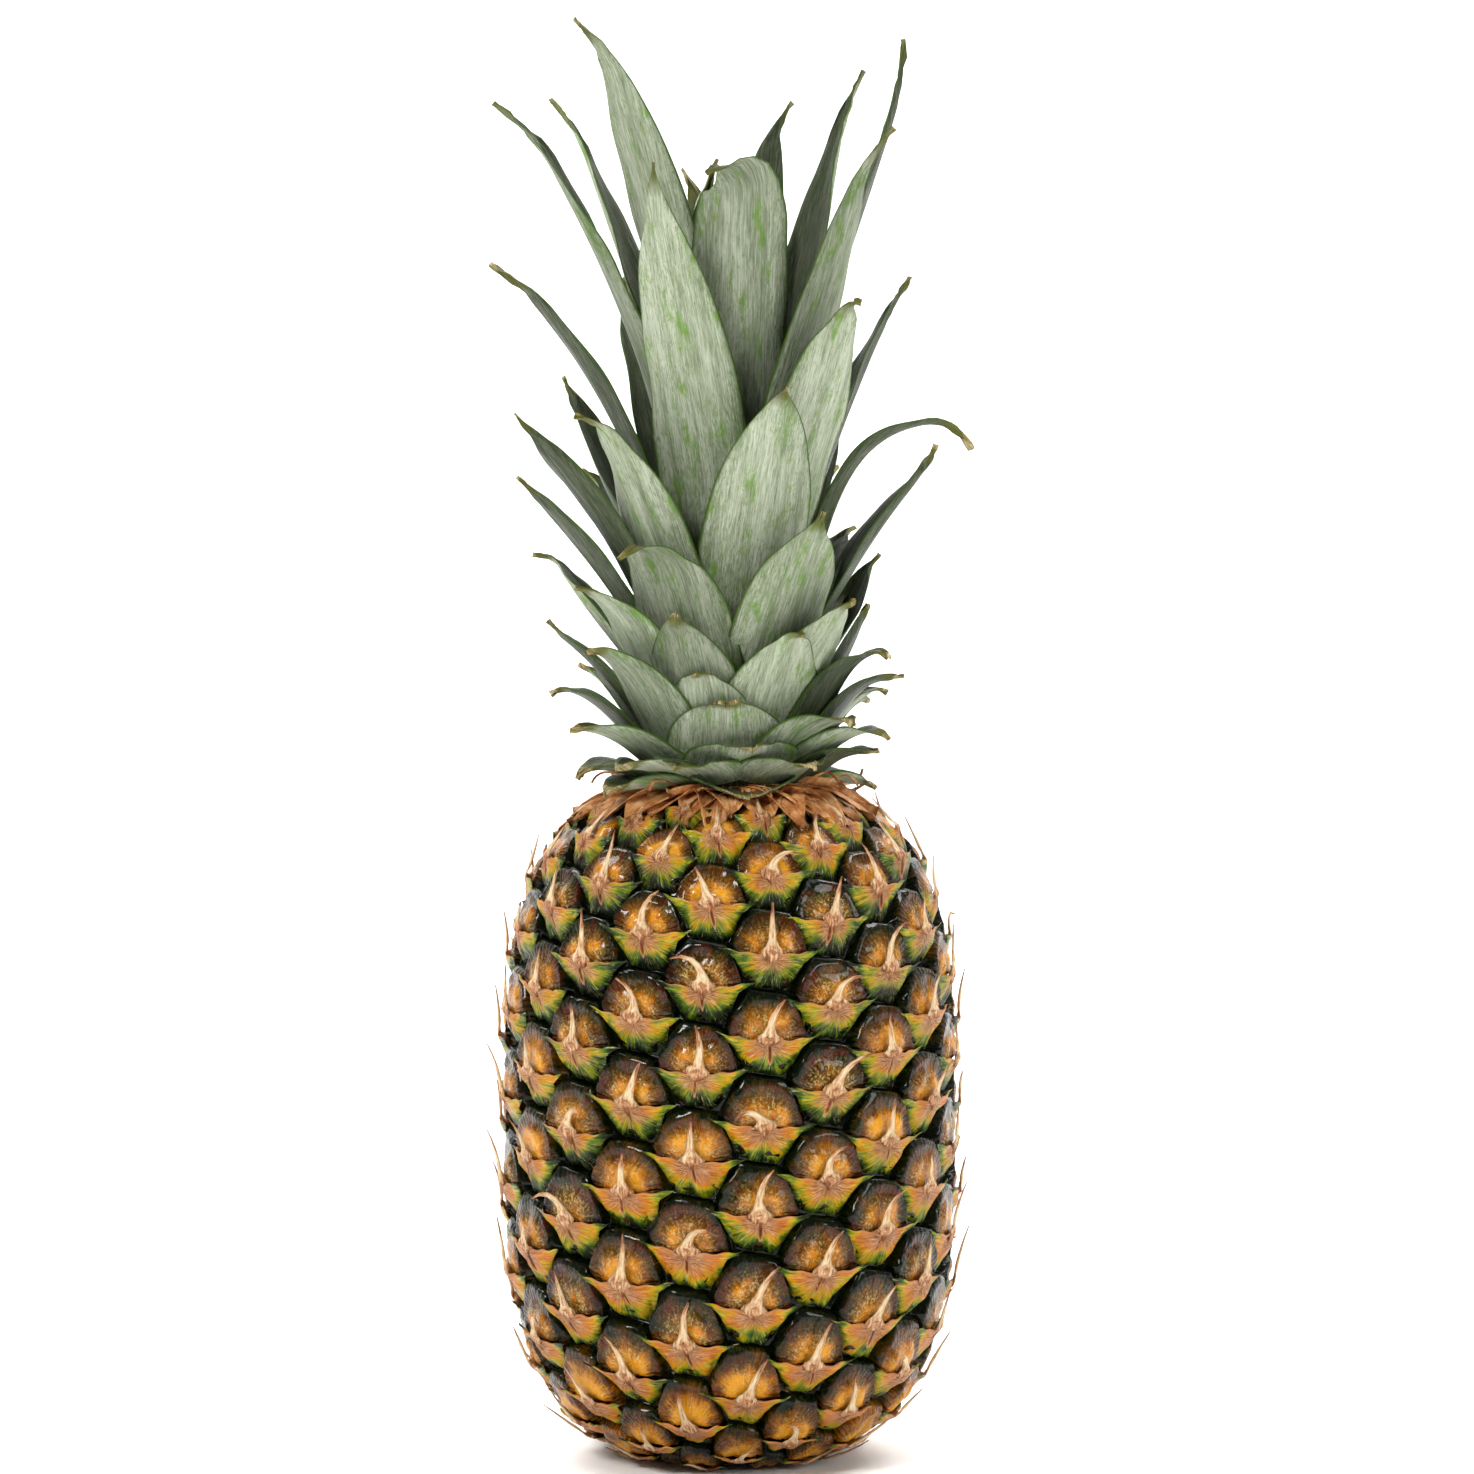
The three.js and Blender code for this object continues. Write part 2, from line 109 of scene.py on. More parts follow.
def fruit_outline():
    """Quarter superellipses below and above the widest height, of radius R cos(t)^(2/p) and height
    reach sin(t)^(2/p). The index grows by one for each fruitlet: by the length walked over the rise, which
    follows the radius."""
    t = np.linspace(-0.5, 0.5, OUTLINE_STEPS + 1) * np.pi
    reach = np.where(t < 0, BASE_REACH, TOP_REACH)
    power = np.where(t < 0, BASE_POWER, TOP_POWER)
    radius = FRUIT_RADIUS * np.cos(t).clip(0) ** (2 / power)
    height = WIDEST_HEIGHT + np.sign(t) * reach * np.abs(np.sin(t)) ** (2 / power)
    middle_radius = np.maximum((radius[1:] + radius[:-1]) / 2 / FRUIT_RADIUS, 1e-3)
    change = np.interp((height[1:] + height[:-1]) / 2, *RISE_CHANGES)
    step = np.hypot(np.diff(radius), np.diff(height))
    index = np.concatenate([[0], np.cumsum(step / (RISE * change * middle_radius ** CELL_SHRINK))])
    return radius, height, index - index[np.argmax(height >= FRONT_HEIGHT)]


outline_radius, outline_height, outline_index = fruit_outline()
slope_r = np.gradient(outline_radius)
slope_z = np.gradient(outline_height)
slope = np.maximum(np.hypot(slope_r, slope_z), 1e-9)


def skin_points(azimuth, index, relief, ceiling=CEILING):
    """Points raised by relief along the outline's outward normal, turned to their azimuth round the Z axis.
    The relief fades to nothing over the flat spot underneath, and nothing goes below the floor."""
    radius = np.interp(index, outline_index, outline_radius)
    height = np.interp(index, outline_index, outline_height)
    out_r = np.interp(index, outline_index, slope_z / slope)
    out_z = np.interp(index, outline_index, -slope_r / slope)
    rise = relief * smoothstep(*FLAT_FADE, radius) * np.sqrt(radius / FRUIT_RADIUS)
    radius = radius + rise * out_r
    height = np.clip(height + rise * out_z, 0, ceiling)
    turn = np.radians(azimuth)
    return np.stack([radius * np.sin(turn), -radius * np.cos(turn), height], axis=-1)


lowest = math.ceil(outline_index[np.argmax(outline_radius >= LOWEST_RADIUS)])
highest = math.floor(outline_index[::-1][np.argmax(outline_radius[::-1] >= HIGHEST_RADIUS)])
FRUITLETS = np.arange(lowest, highest + 1)
SCALED = FRUITLETS[np.interp(FRUITLETS, outline_index, outline_radius) > WORN_RADIUS]  # those with a bract
ACROSS_TO_AZIMUTH = 180 / math.pi / FRUIT_RADIUS


def on_fruitlets(n, across, up, relief, ceiling=CEILING):
    """Places one fruitlet's points, in millimetres from its centre, on all of the fruitlets n at once."""
    azimuth = FRONT_AZIMUTH + n * DIVERGENCE + across * ACROSS_TO_AZIMUTH
    return skin_points(azimuth, n + up / RISE, relief, ceiling)


def swell(n):
    """How far a fruitlet's relief stands out, as a share of the usual, by chance."""
    return 0.8 + 0.4 * chance(n, 1)


# Meshes

def new_piece(name, points, faces, values, material, weld=False):
    """Puts points in millimetres and faces into a mesh in metres, with one value or vector a point by name.
    Where it is welded, points that meet are merged and open ends are closed."""
    mesh = bpy.data.meshes.new(name)
    mesh.from_pydata((points.reshape(-1, 3) * MM).tolist(), [], faces)
    for key, value in values.items():
        value = np.asarray(value, np.float32)
        is_vector = value.ndim > 1 and value.shape[-1] == 3
        data = mesh.attributes.new(key, "FLOAT_VECTOR" if is_vector else "FLOAT", "POINT").data
        data.foreach_set("vector" if is_vector else "value", value.ravel())
    if weld:
        shell = bmesh.new()
        shell.from_mesh(mesh)
        bmesh.ops.remove_doubles(shell, verts=shell.verts, dist=1e-6)
        bmesh.ops.holes_fill(shell, edges=shell.edges, sides=0)
        shell.to_mesh(mesh)
        shell.free()
    mesh.polygons.foreach_set("use_smooth", np.ones(len(mesh.polygons), bool))
    mesh.materials.append(material)
    piece = bpy.data.objects.new(name, mesh)
    bpy.context.scene.collection.objects.link(piece)
    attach(piece, "root")
    return piece


def ring_faces(starts, rings, around):
    """The quads between neighbouring rings of around points, for each set of rings that begins in starts."""
    ring = starts[:, None, None] + np.arange(rings - 1)[:, None] * around
    a = ring + np.arange(around)
    b = ring + (np.arange(around) + 1) % around
    return np.stack([a, b, b + around, a + around], axis=-1).reshape(-1, 4)


def tube_faces(count, stations, around):
    """The faces of count closed tubes, each of stations rings of around points, capped at both ends."""
    starts = np.arange(count) * stations * around
    faces = ring_faces(starts, stations, around).tolist()
    for low in starts.tolist():
        high = low + (stations - 1) * around
        faces.append(list(range(low + around - 1, low - 1, -1)))
        faces.append(list(range(high, high + around)))
    return faces


# Materials. Object coordinates are in metres, and spots() gives a noise's scale on them from a real size. The
# blade, flow and fibres attributes are in millimetres, so a scale on them is the number of spots in one.

def paint(code):
    """An sRGB hex colour as linear RGBA."""
    srgb = [int(code[i:i + 2], 16) / 255 for i in (1, 3, 5)]
    return [c / 12.92 if c <= 0.04045 else ((c + 0.055) / 1.055) ** 2.4 for c in srgb] + [1]


COLOURS = {"out": 2, "data_type": "RGBA"}  # what add is told where a node mixes colours


def fill(tree, node, inputs):
    """Fills a node's sockets with values or links."""
    for key, value in inputs.items():
        if isinstance(value, bpy.types.NodeSocket):
            tree.links.new(value, node.inputs[key])
        else:
            node.inputs[key].default_value = value


def add(tree, kind, inputs=None, out=0, stops=None, **settings):
    """Adds a node, sets its properties, fills its sockets and gives back an output. stops are a colour
    ramp's places and colours."""
    node = tree.nodes.new(kind)
    for key, value in settings.items():
        setattr(node, key, value)
    fill(tree, node, inputs or {})
    for i, (place, code) in enumerate(stops or []):
        element = node.color_ramp.elements[i] if i < 2 else node.color_ramp.elements.new(place)
        element.position = place
        element.color = paint(code)
    return node.outputs[out]


def lay_over(tree, colour, layers):
    """Lays colours over a colour. A layer is the value that it follows, where on it the layer begins and is
    full, how much of what is below it covers there, and its own colour."""
    for value, begins, full, most, layer in layers:
        cover = add(tree, "ShaderNodeMapRange", {"Value": value, "From Min": begins, "From Max": full,
                                                 "To Max": most})
        colour = add(tree, "ShaderNodeMix", {0: cover, 6: colour, 7: layer}, **COLOURS)
    return colour


def spots(size):
    """The scale of a noise on Object coordinates whose spots are about this many millimetres wide."""
    return 1 / (size * MM)


def new_material(name, **finish):
    """A material with its shader's constant finish set on the shader's own sockets."""
    material = bpy.data.materials.new(name)
    material.use_nodes = True
    shader = material.node_tree.nodes["Principled BSDF"]
    for key, value in finish.items():
        shader.inputs[key.replace("_", " ")].default_value = value
    return material, material.node_tree, shader


def eye_material():
    """Rind of the eyes: waxy skin. Orange-gold patches beside the thorn under a pale frosting of specks and
    radiating streaks, brown and reddish outside them, and a glossy, ribbed rim as dark as the grooves."""
    material, tree, shader = new_material("waxy_eye_rind", Specular_IOR_Level=0.06, Coat_Weight=0.36,
                                          Coat_Roughness=0.1)
    place = add(tree, "ShaderNodeTexCoord", out="Object")
    flow = add(tree, "ShaderNodeAttribute", out="Vector", attribute_name="flow")
    rim, rib, gold = (add(tree, "ShaderNodeAttribute", out="Fac", attribute_name=name)
                      for name in ("rim", "rib", "gold"))
    patches, streaks, grain, ruddy = (
        add(tree, "ShaderNodeTexNoise", {"Vector": at, "Scale": scale, "Detail": detail, "Roughness": rough})
        for at, scale, detail, rough in (
            (place, spots(4.4), 4, 0.6), (flow, 1.3, 4, 0.6),
            (place, spots(0.66), 3, 0.7), (place, spots(6), 3, 0.6),
        )
    )
    level = add(tree, "ShaderNodeMath", {0: rim, 1: 1.5}, operation="POWER")
    for share, weight in ((patches, 1.5), (streaks, 0.55), (gold, -0.42)):
        level = add(tree, "ShaderNodeMath", {0: share, 1: weight, 2: level}, operation="MULTIPLY_ADD")
    level = add(tree, "ShaderNodeMath", {0: level, 1: 0.93}, operation="SUBTRACT")
    colour = add(tree, "ShaderNodeValToRGB", {"Fac": level}, stops=[
        (0.0, "#DA9004"), (1.0, "#0A1402"), (0.2, "#C07004"), (0.36, "#965804"), (0.5, "#744604"),
        (0.64, "#5A3A02"), (0.78, "#402C02"), (0.9, "#222804"),
    ])
    red = add(tree, "ShaderNodeMapRange", {"Value": ruddy, "From Min": 0.47, "From Max": 0.6, "To Max": 0.8})
    for none, full in ((0.4, 0.7), (0.95, 0.82)):
        outer = add(tree, "ShaderNodeMapRange", {"Value": rim, "From Min": none, "From Max": full})
        red = add(tree, "ShaderNodeMath", {0: red, 1: outer}, operation="MULTIPLY")
    colour = add(tree, "ShaderNodeMix", {0: red, 6: colour, 7: paint("#5E2008")}, **COLOURS)
    frost = add(tree, "ShaderNodeMath", {0: grain, 1: 0.85, 2: -0.02}, operation="MULTIPLY_ADD")
    frost = add(tree, "ShaderNodeMath", {0: streaks, 1: 0.5, 2: frost}, operation="MULTIPLY_ADD")
    frost = add(tree, "ShaderNodeMapRange", {"Value": frost, "From Min": 0.64, "From Max": 0.8,
                                             "To Max": 0.85})
    inside = add(tree, "ShaderNodeMapRange", {"Value": rim, "From Min": 0.84, "From Max": 0.45})
    frost = add(tree, "ShaderNodeMath", {0: frost, 1: inside}, operation="MULTIPLY")
    colour = add(tree, "ShaderNodeMix", {0: frost, 6: colour, 7: paint("#CDB26C")}, **COLOURS)
    gloss = add(tree, "ShaderNodeMapRange", {"Value": rim, "From Min": 0.4, "From Max": 0.9,
                                             "To Min": 0.5, "To Max": 0.24})
    wobble = add(tree, "ShaderNodeMath", {0: streaks, 1: 5.0, 2: rib}, operation="MULTIPLY_ADD")
    ribs = add(tree, "ShaderNodeMath", {0: wobble}, operation="SINE")
    outer = add(tree, "ShaderNodeMapRange", {"Value": rim, "From Min": 0.5, "From Max": 0.85, "To Max": 2.2})
    height = add(tree, "ShaderNodeMath", {0: ribs, 1: outer, 2: streaks}, operation="MULTIPLY_ADD")
    height = add(tree, "ShaderNodeMath", {0: grain, 1: 0.5, 2: height}, operation="MULTIPLY_ADD")
    bump = add(tree, "ShaderNodeBump", {"Height": height, "Distance": 0.0007, "Strength": 1.0})
    fill(tree, shader, {"Base Color": colour, "Roughness": gloss, "Normal": bump})
    return material


def bract_material():
    """Fruitlet bracts: leathery scales that dry from the thorn and the lip. Fibrous tan round the thorn, then
    orange and yellow, then green at their margins and dark green in the groove, in streaks that spread from
    the thorn's foot, with pale scurf between them and short torn slits."""
    material, tree, shader = new_material("leathery_bract", Roughness=0.42, Specular_IOR_Level=0.15,
                                          Coat_Weight=0.15, Coat_Roughness=0.2)
    place = add(tree, "ShaderNodeTexCoord", out="Object")
    flow = add(tree, "ShaderNodeAttribute", out="Vector", attribute_name="flow")
    edge, lip, slit, low, foot = (add(tree, "ShaderNodeAttribute", out="Fac", attribute_name=name)
                                  for name in ("edge", "lip", "slit", "low", "foot"))
    streak, hairs, blotch = (
        add(tree, "ShaderNodeTexNoise", {"Vector": at, "Scale": scale, "Detail": detail, "Roughness": rough})
        for at, scale, detail, rough in (
            (flow, 0.9, 5, 0.65), (flow, 2.6, 4, 0.7), (place, spots(5.2), 4, 0.5),
        )
    )
    level = edge
    for share, weight in ((streak, 1.3), (blotch, 1.3), (low, -0.3)):
        level = add(tree, "ShaderNodeMath", {0: share, 1: weight, 2: level}, operation="MULTIPLY_ADD")
    level = add(tree, "ShaderNodeMath", {0: level, 1: 1.28}, operation="SUBTRACT")
    colour = add(tree, "ShaderNodeValToRGB", {"Fac": level}, stops=[
        (0.0, "#B87440"), (1.0, "#0A1602"), (0.18, "#BC6816"), (0.32, "#C68606"), (0.46, "#B69406"),
        (0.6, "#7C8408"), (0.74, "#44600A"), (0.88, "#1C3008"),
    ])
    scurf = add(tree, "ShaderNodeMapRange", {"Value": hairs, "From Min": 0.44, "From Max": 0.32,
                                             "To Max": 0.6})
    middle = add(tree, "ShaderNodeMapRange", {"Value": edge, "From Min": 0.2, "From Max": 0.5})
    scurf = add(tree, "ShaderNodeMath", {0: scurf, 1: middle}, operation="MULTIPLY")
    colour = add(tree, "ShaderNodeMix", {0: scurf, 6: colour, 7: paint("#D2C884")}, **COLOURS)
    dark = add(tree, "ShaderNodeMapRange", {"Value": hairs, "From Min": 0.52, "From Max": 0.7, "To Max": 0.7})
    colour = add(tree, "ShaderNodeMix", {0: dark, 6: colour, 7: paint("#7A4A1E")}, **COLOURS,
                 blend_type="MULTIPLY")
    fibre = add(tree, "ShaderNodeValToRGB", {"Fac": hairs}, stops=[
        (0.36, "#D9B68E"), (0.66, "#4E240E"), (0.48, "#B48054"), (0.56, "#8A4C26"),
    ])
    star = add(tree, "ShaderNodeMath", {0: streak, 1: 1.2, 2: foot}, operation="MULTIPLY_ADD")
    tear = add(tree, "ShaderNodeValToRGB", {"Fac": slit}, stops=[
        (0.35, "#D6A070"), (0.9, "#2E1206"), (0.6, "#A04A1C"),
    ])
    colour = lay_over(tree, colour, (
        (star, 0.85, 1.15, 0.9, fibre), (lip, 0.3, 0.9, 0.85, paint("#BE8050")), (slit, 0.25, 0.45, 0.9, tear),
    ))
    height = add(tree, "ShaderNodeMath", {0: slit, 1: -1.0, 2: streak}, operation="MULTIPLY_ADD")
    height = add(tree, "ShaderNodeMath", {0: hairs, 1: -0.7, 2: height}, operation="MULTIPLY_ADD")
    bump = add(tree, "ShaderNodeBump", {"Height": height, "Distance": 0.0008, "Strength": 0.9})
    fill(tree, shader, {"Base Color": colour, "Normal": bump})
    return material


def thorn_material():
    """The thorns' dry husk: pale papery fibres along the thorn, browner in streaks and at both ends."""
    material, tree, shader = new_material("dry_husk", Roughness=0.6, Specular_IOR_Level=0.3)
    fibres = add(tree, "ShaderNodeAttribute", out="Vector", attribute_name="fibres")
    along = add(tree, "ShaderNodeAttribute", out="Fac", attribute_name="along")
    streak = add(tree, "ShaderNodeTexNoise", {"Vector": fibres, "Scale": 1.6, "Detail": 4, "Roughness": 0.6})
    push = add(tree, "ShaderNodeMath", {0: streak, 1: 1.5, 2: -0.45}, operation="MULTIPLY_ADD")
    foot = add(tree, "ShaderNodeMapRange", {"Value": along, "From Min": -0.2, "From Max": 0.18,
                                            "To Min": -0.26, "To Max": 0.12})
    tip = add(tree, "ShaderNodeMapRange", {"Value": along, "From Min": 0.5, "From Max": 1.0, "To Max": 0.4})
    level = add(tree, "ShaderNodeMath", {0: push, 1: foot}, operation="ADD")
    level = add(tree, "ShaderNodeMath", {0: level, 1: tip}, operation="SUBTRACT")
    colour = add(tree, "ShaderNodeValToRGB", {"Fac": level}, stops=[
        (0.0, "#6A381A"), (0.6, "#D6C29C"), (0.14, "#965E38"), (0.28, "#B68C64"), (0.42, "#C8AC84"),
    ])
    bump = add(tree, "ShaderNodeBump", {"Height": streak, "Distance": 0.0004, "Strength": 0.8})
    fill(tree, shader, {"Base Color": colour, "Normal": bump})
    return material


def husk_material():
    """The papery bracts round the crown's foot: dry, orange-brown, with fine lengthwise veins."""
    material, tree, shader = new_material("papery_collar_bract", Roughness=0.6, Specular_IOR_Level=0.3)
    blade = add(tree, "ShaderNodeAttribute", out="Vector", attribute_name="blade")
    tip = add(tree, "ShaderNodeAttribute", out="Fac", attribute_name="tip")
    veins = add(tree, "ShaderNodeMapping", {"Vector": blade, "Scale": (1.6, 0.15, 1)})
    veins = add(tree, "ShaderNodeTexNoise", {"Vector": veins, "Scale": 1, "Detail": 4, "Roughness": 0.7})
    blotch = add(tree, "ShaderNodeTexNoise", {"Vector": blade, "Scale": 0.3, "Detail": 3})
    level = add(tree, "ShaderNodeMath", {0: veins, 1: 1.2, 2: -0.65}, operation="MULTIPLY_ADD")
    level = add(tree, "ShaderNodeMath", {0: blotch, 1: 1.1, 2: level}, operation="MULTIPLY_ADD")
    colour = add(tree, "ShaderNodeValToRGB", {"Fac": level}, stops=[
        (0.1, "#6A3814"), (0.9, "#E8C496"), (0.35, "#A86634"), (0.6, "#C99058"),
    ])
    colour = lay_over(tree, colour, [(tip, 0.8, 1.0, 0.7, paint("#5E3A1C"))])
    bump = add(tree, "ShaderNodeBump", {"Height": veins, "Distance": 0.0004, "Strength": 0.8})
    fill(tree, shader, {"Base Color": colour, "Normal": bump})
    return material


def leaf_material():
    """A pineapple leaf: tough green skin under a silvery bloom of fine scales in lengthwise lines. The bloom
    thins to streaks at the root and the margins and is rubbed off in green patches. The inner face has little
    bloom, the margins are green, and the tips are dry. A real leaf's lines are about 0.15 mm apart, and they
    are drawn 0.4 mm apart, so that they show."""
    material, tree, shader = new_material("bloomy_leaf", Specular_IOR_Level=0.15)
    blade = add(tree, "ShaderNodeAttribute", out="Vector", attribute_name="blade")
    bloom, edge, tip, dead = (add(tree, "ShaderNodeAttribute", out="Fac", attribute_name=name)
                              for name in ("bloom", "edge", "tip", "dead"))
    noises = []
    for across, along, shift, detail, rough in (
        (2.6, 0.16, (0, 0, 0), 5, 0.7),
        (0.34, 0.02, (0, 0, 0), 4, 0.5),
        (0.12, 0.05, (0, 0, 0), 3, 0.5),
        (2.2, 0.5, (3, 7, 5), 4, 0.75),
        (0.22, 0.07, (9, 4, 2), 8, 0.75),
    ):
        drawn_out = add(tree, "ShaderNodeMapping", {"Vector": blade, "Scale": (across, along, 1),
                                                    "Location": shift})
        noises.append(add(tree, "ShaderNodeTexNoise", {"Vector": drawn_out, "Scale": 1, "Detail": detail,
                                                       "Roughness": rough}))
    fine, broad, cloud, specks, rub = noises

    streak = add(tree, "ShaderNodeMath", {0: broad, 1: 0.6, 2: fine}, operation="MULTIPLY_ADD")
    silver = add(tree, "ShaderNodeValToRGB", {"Fac": streak}, stops=[
        (0.6, "#747E64"), (0.98, "#BCC2AC"), (0.78, "#98A188"),
    ])
    root = add(tree, "ShaderNodeMapRange", {"Value": tip, "From Min": 0.5, "From Max": 0.0, "To Max": 0.1})
    thin = add(tree, "ShaderNodeMath", {0: edge, 1: 4.0}, operation="POWER")
    thin = add(tree, "ShaderNodeMath", {0: thin, 1: 0.14, 2: root}, operation="MULTIPLY_ADD")
    thin = add(tree, "ShaderNodeMath", {0: cloud, 1: 0.4, 2: thin}, operation="MULTIPLY_ADD")
    thin = add(tree, "ShaderNodeMath", {0: specks, 1: thin}, operation="ADD")
    skin = add(tree, "ShaderNodeValToRGB", {"Fac": cloud}, stops=[
        (0.35, "#304618"), (0.65, "#567430"), (0.5, "#405A22"),
    ])
    outer = lay_over(tree, silver, (
        (thin, 0.75, 0.9, 0.6, skin), (rub, 0.54, 0.63, 0.8, paint("#648C2C")),
    ))
    green = add(tree, "ShaderNodeValToRGB", {"Fac": fine}, stops=[
        (0.3, "#10140A"), (0.72, "#4C5636"), (0.48, "#222A12"),
    ])
    # Where there is little bloom the green skin shows; on the listed side leaves this dark green is painted
    # shade.
    colour = add(tree, "ShaderNodeMix", {0: bloom, 6: green, 7: outer}, **COLOURS)
    yellow = add(tree, "ShaderNodeMath", {0: rub, 1: 0.5, 2: dead}, operation="MULTIPLY_ADD")
    husk = add(tree, "ShaderNodeValToRGB", {"Fac": fine}, stops=[
        (0.35, "#3E3418"), (0.66, "#D8CCA4"), (0.5, "#8E7E4C"),
    ])
    colour = lay_over(tree, colour, (
        (edge, 0.93, 0.985, 1.0, paint("#3A5416")), (yellow, 0.55, 1.0, 0.85, paint("#56561E")),
        (yellow, 1.16, 1.26, 1.0, husk),
    ))
    gloss = add(tree, "ShaderNodeMapRange", {"Value": bloom, "To Min": 0.38, "To Max": 0.6})
    height = add(tree, "ShaderNodeMath", {0: broad, 1: 1.5, 2: fine}, operation="MULTIPLY_ADD")
    bump = add(tree, "ShaderNodeBump", {"Height": height, "Distance": 0.0006, "Strength": 0.8})
    fill(tree, shader, {"Base Color": colour, "Roughness": gloss, "Normal": bump})
    return material


def scar_material():
    """The cut stalk under the fruit: pale woody fibres in a tan ring, dried browner at the edge."""
    material, tree, shader = new_material("cut_stalk", Roughness=0.75)
    place = add(tree, "ShaderNodeTexCoord", out="Object")
    fibres = add(tree, "ShaderNodeTexNoise", {"Vector": place, "Scale": spots(1.1), "Detail": 4,
                                              "Roughness": 0.7})
    spread = add(tree, "ShaderNodeVectorMath", {0: place}, out="Value", operation="LENGTH")
    level = add(tree, "ShaderNodeMath", {0: spread, 1: 38.0, 2: -0.35}, operation="MULTIPLY_ADD")
    level = add(tree, "ShaderNodeMath", {0: fibres, 1: 0.8, 2: level}, operation="MULTIPLY_ADD")
    colour = add(tree, "ShaderNodeValToRGB", {"Fac": level}, stops=[
        (0.1, "#D9C08A"), (0.9, "#5A3A1E"), (0.45, "#B98E58"), (0.65, "#8A6034"),
    ])
    bump = add(tree, "ShaderNodeBump", {"Height": fibres, "Distance": 0.0008, "Strength": 0.8})
    fill(tree, shader, {"Base Color": colour, "Normal": bump})
    return material


def paper_material():
    """The studio's seamless paper: matt and nearly white."""
    return new_material("studio_paper", Base_Color=paint("#FBFBFA"), Roughness=0.9)[0]


eye_rind = eye_material()
bract_skin = bract_material()
dry_husk = thorn_material()
collar_husk = husk_material()
leaf_skin = leaf_material()

# The rind: the eyes and the grooves between fruitlets, with the relief in millimetres

RING_SHARES = np.array([0.13, 0.28, 0.42, 0.54, 0.65, 0.74, 0.81, 0.87, 0.915, 0.95, 0.98, 1.0])
EDGE_STEPS = 7
EYE_CENTRE = 2.2  # the grid's middle, above the fruitlet's own
EYE_HALF_WIDTH = 11.3
EYE_RISE = 13  # from the lip to the rim
EYE_POWER = 2.2  # its outline is a superellipse
OVAL = (10.9, 11.2)  # the half width and half height that round off the hexagon's corners
EYE_RIBS = 44
DOME_RELIEF = 0.75
LOBE_RELIEF = 0.65
CREASE_RELIEF = 0.45
WAVE_RELIEF = 0.35
CREASE_REACH = 0.66  # the crease's and the ridge's places, as shares of the way out to the rim
RIDGE_REACH = 0.88


def fruitlet_border():
    """The hexagon that a fruitlet fills, anticlockwise from its right corner, EDGE_STEPS points to a side.
    Each corner is the middle of three neighbouring fruitlets of the lattice."""
    turns = np.array([[k * DIVERGENCE - 360 * round(k * DIVERGENCE / 360), k] for k in (GENTLE, STEEP)])
    gentle, steep = turns
    both = gentle + steep
    corners = np.array([
        gentle - steep, gentle + both, steep + both, steep - gentle, -gentle - both, -steep - both,
    ]) / 3
    share = np.arange(EDGE_STEPS)[None, :, None] / EDGE_STEPS
    border = corners[:, None] * (1 - share) + np.roll(corners, -1, axis=0)[:, None] * share
    border = border.reshape(-1, 2)
    return border[:, 0] / ACROSS_TO_AZIMUTH, border[:, 1] * RISE


def flow_lines(x, y, salt, stretch):
    """Where a point lies among streaks that spread from the thorn's foot: the ray's direction on a circle of
    8 mm, and the distance over the stretch, so that a noise on it is drawn out along the rays."""
    across, up = x, y - LIP_HEIGHT
    distance = np.hypot(across, up) + 1e-6
    return np.stack([8 * across / distance, 8 * up / distance, distance / stretch + 30 * salt], axis=-1)


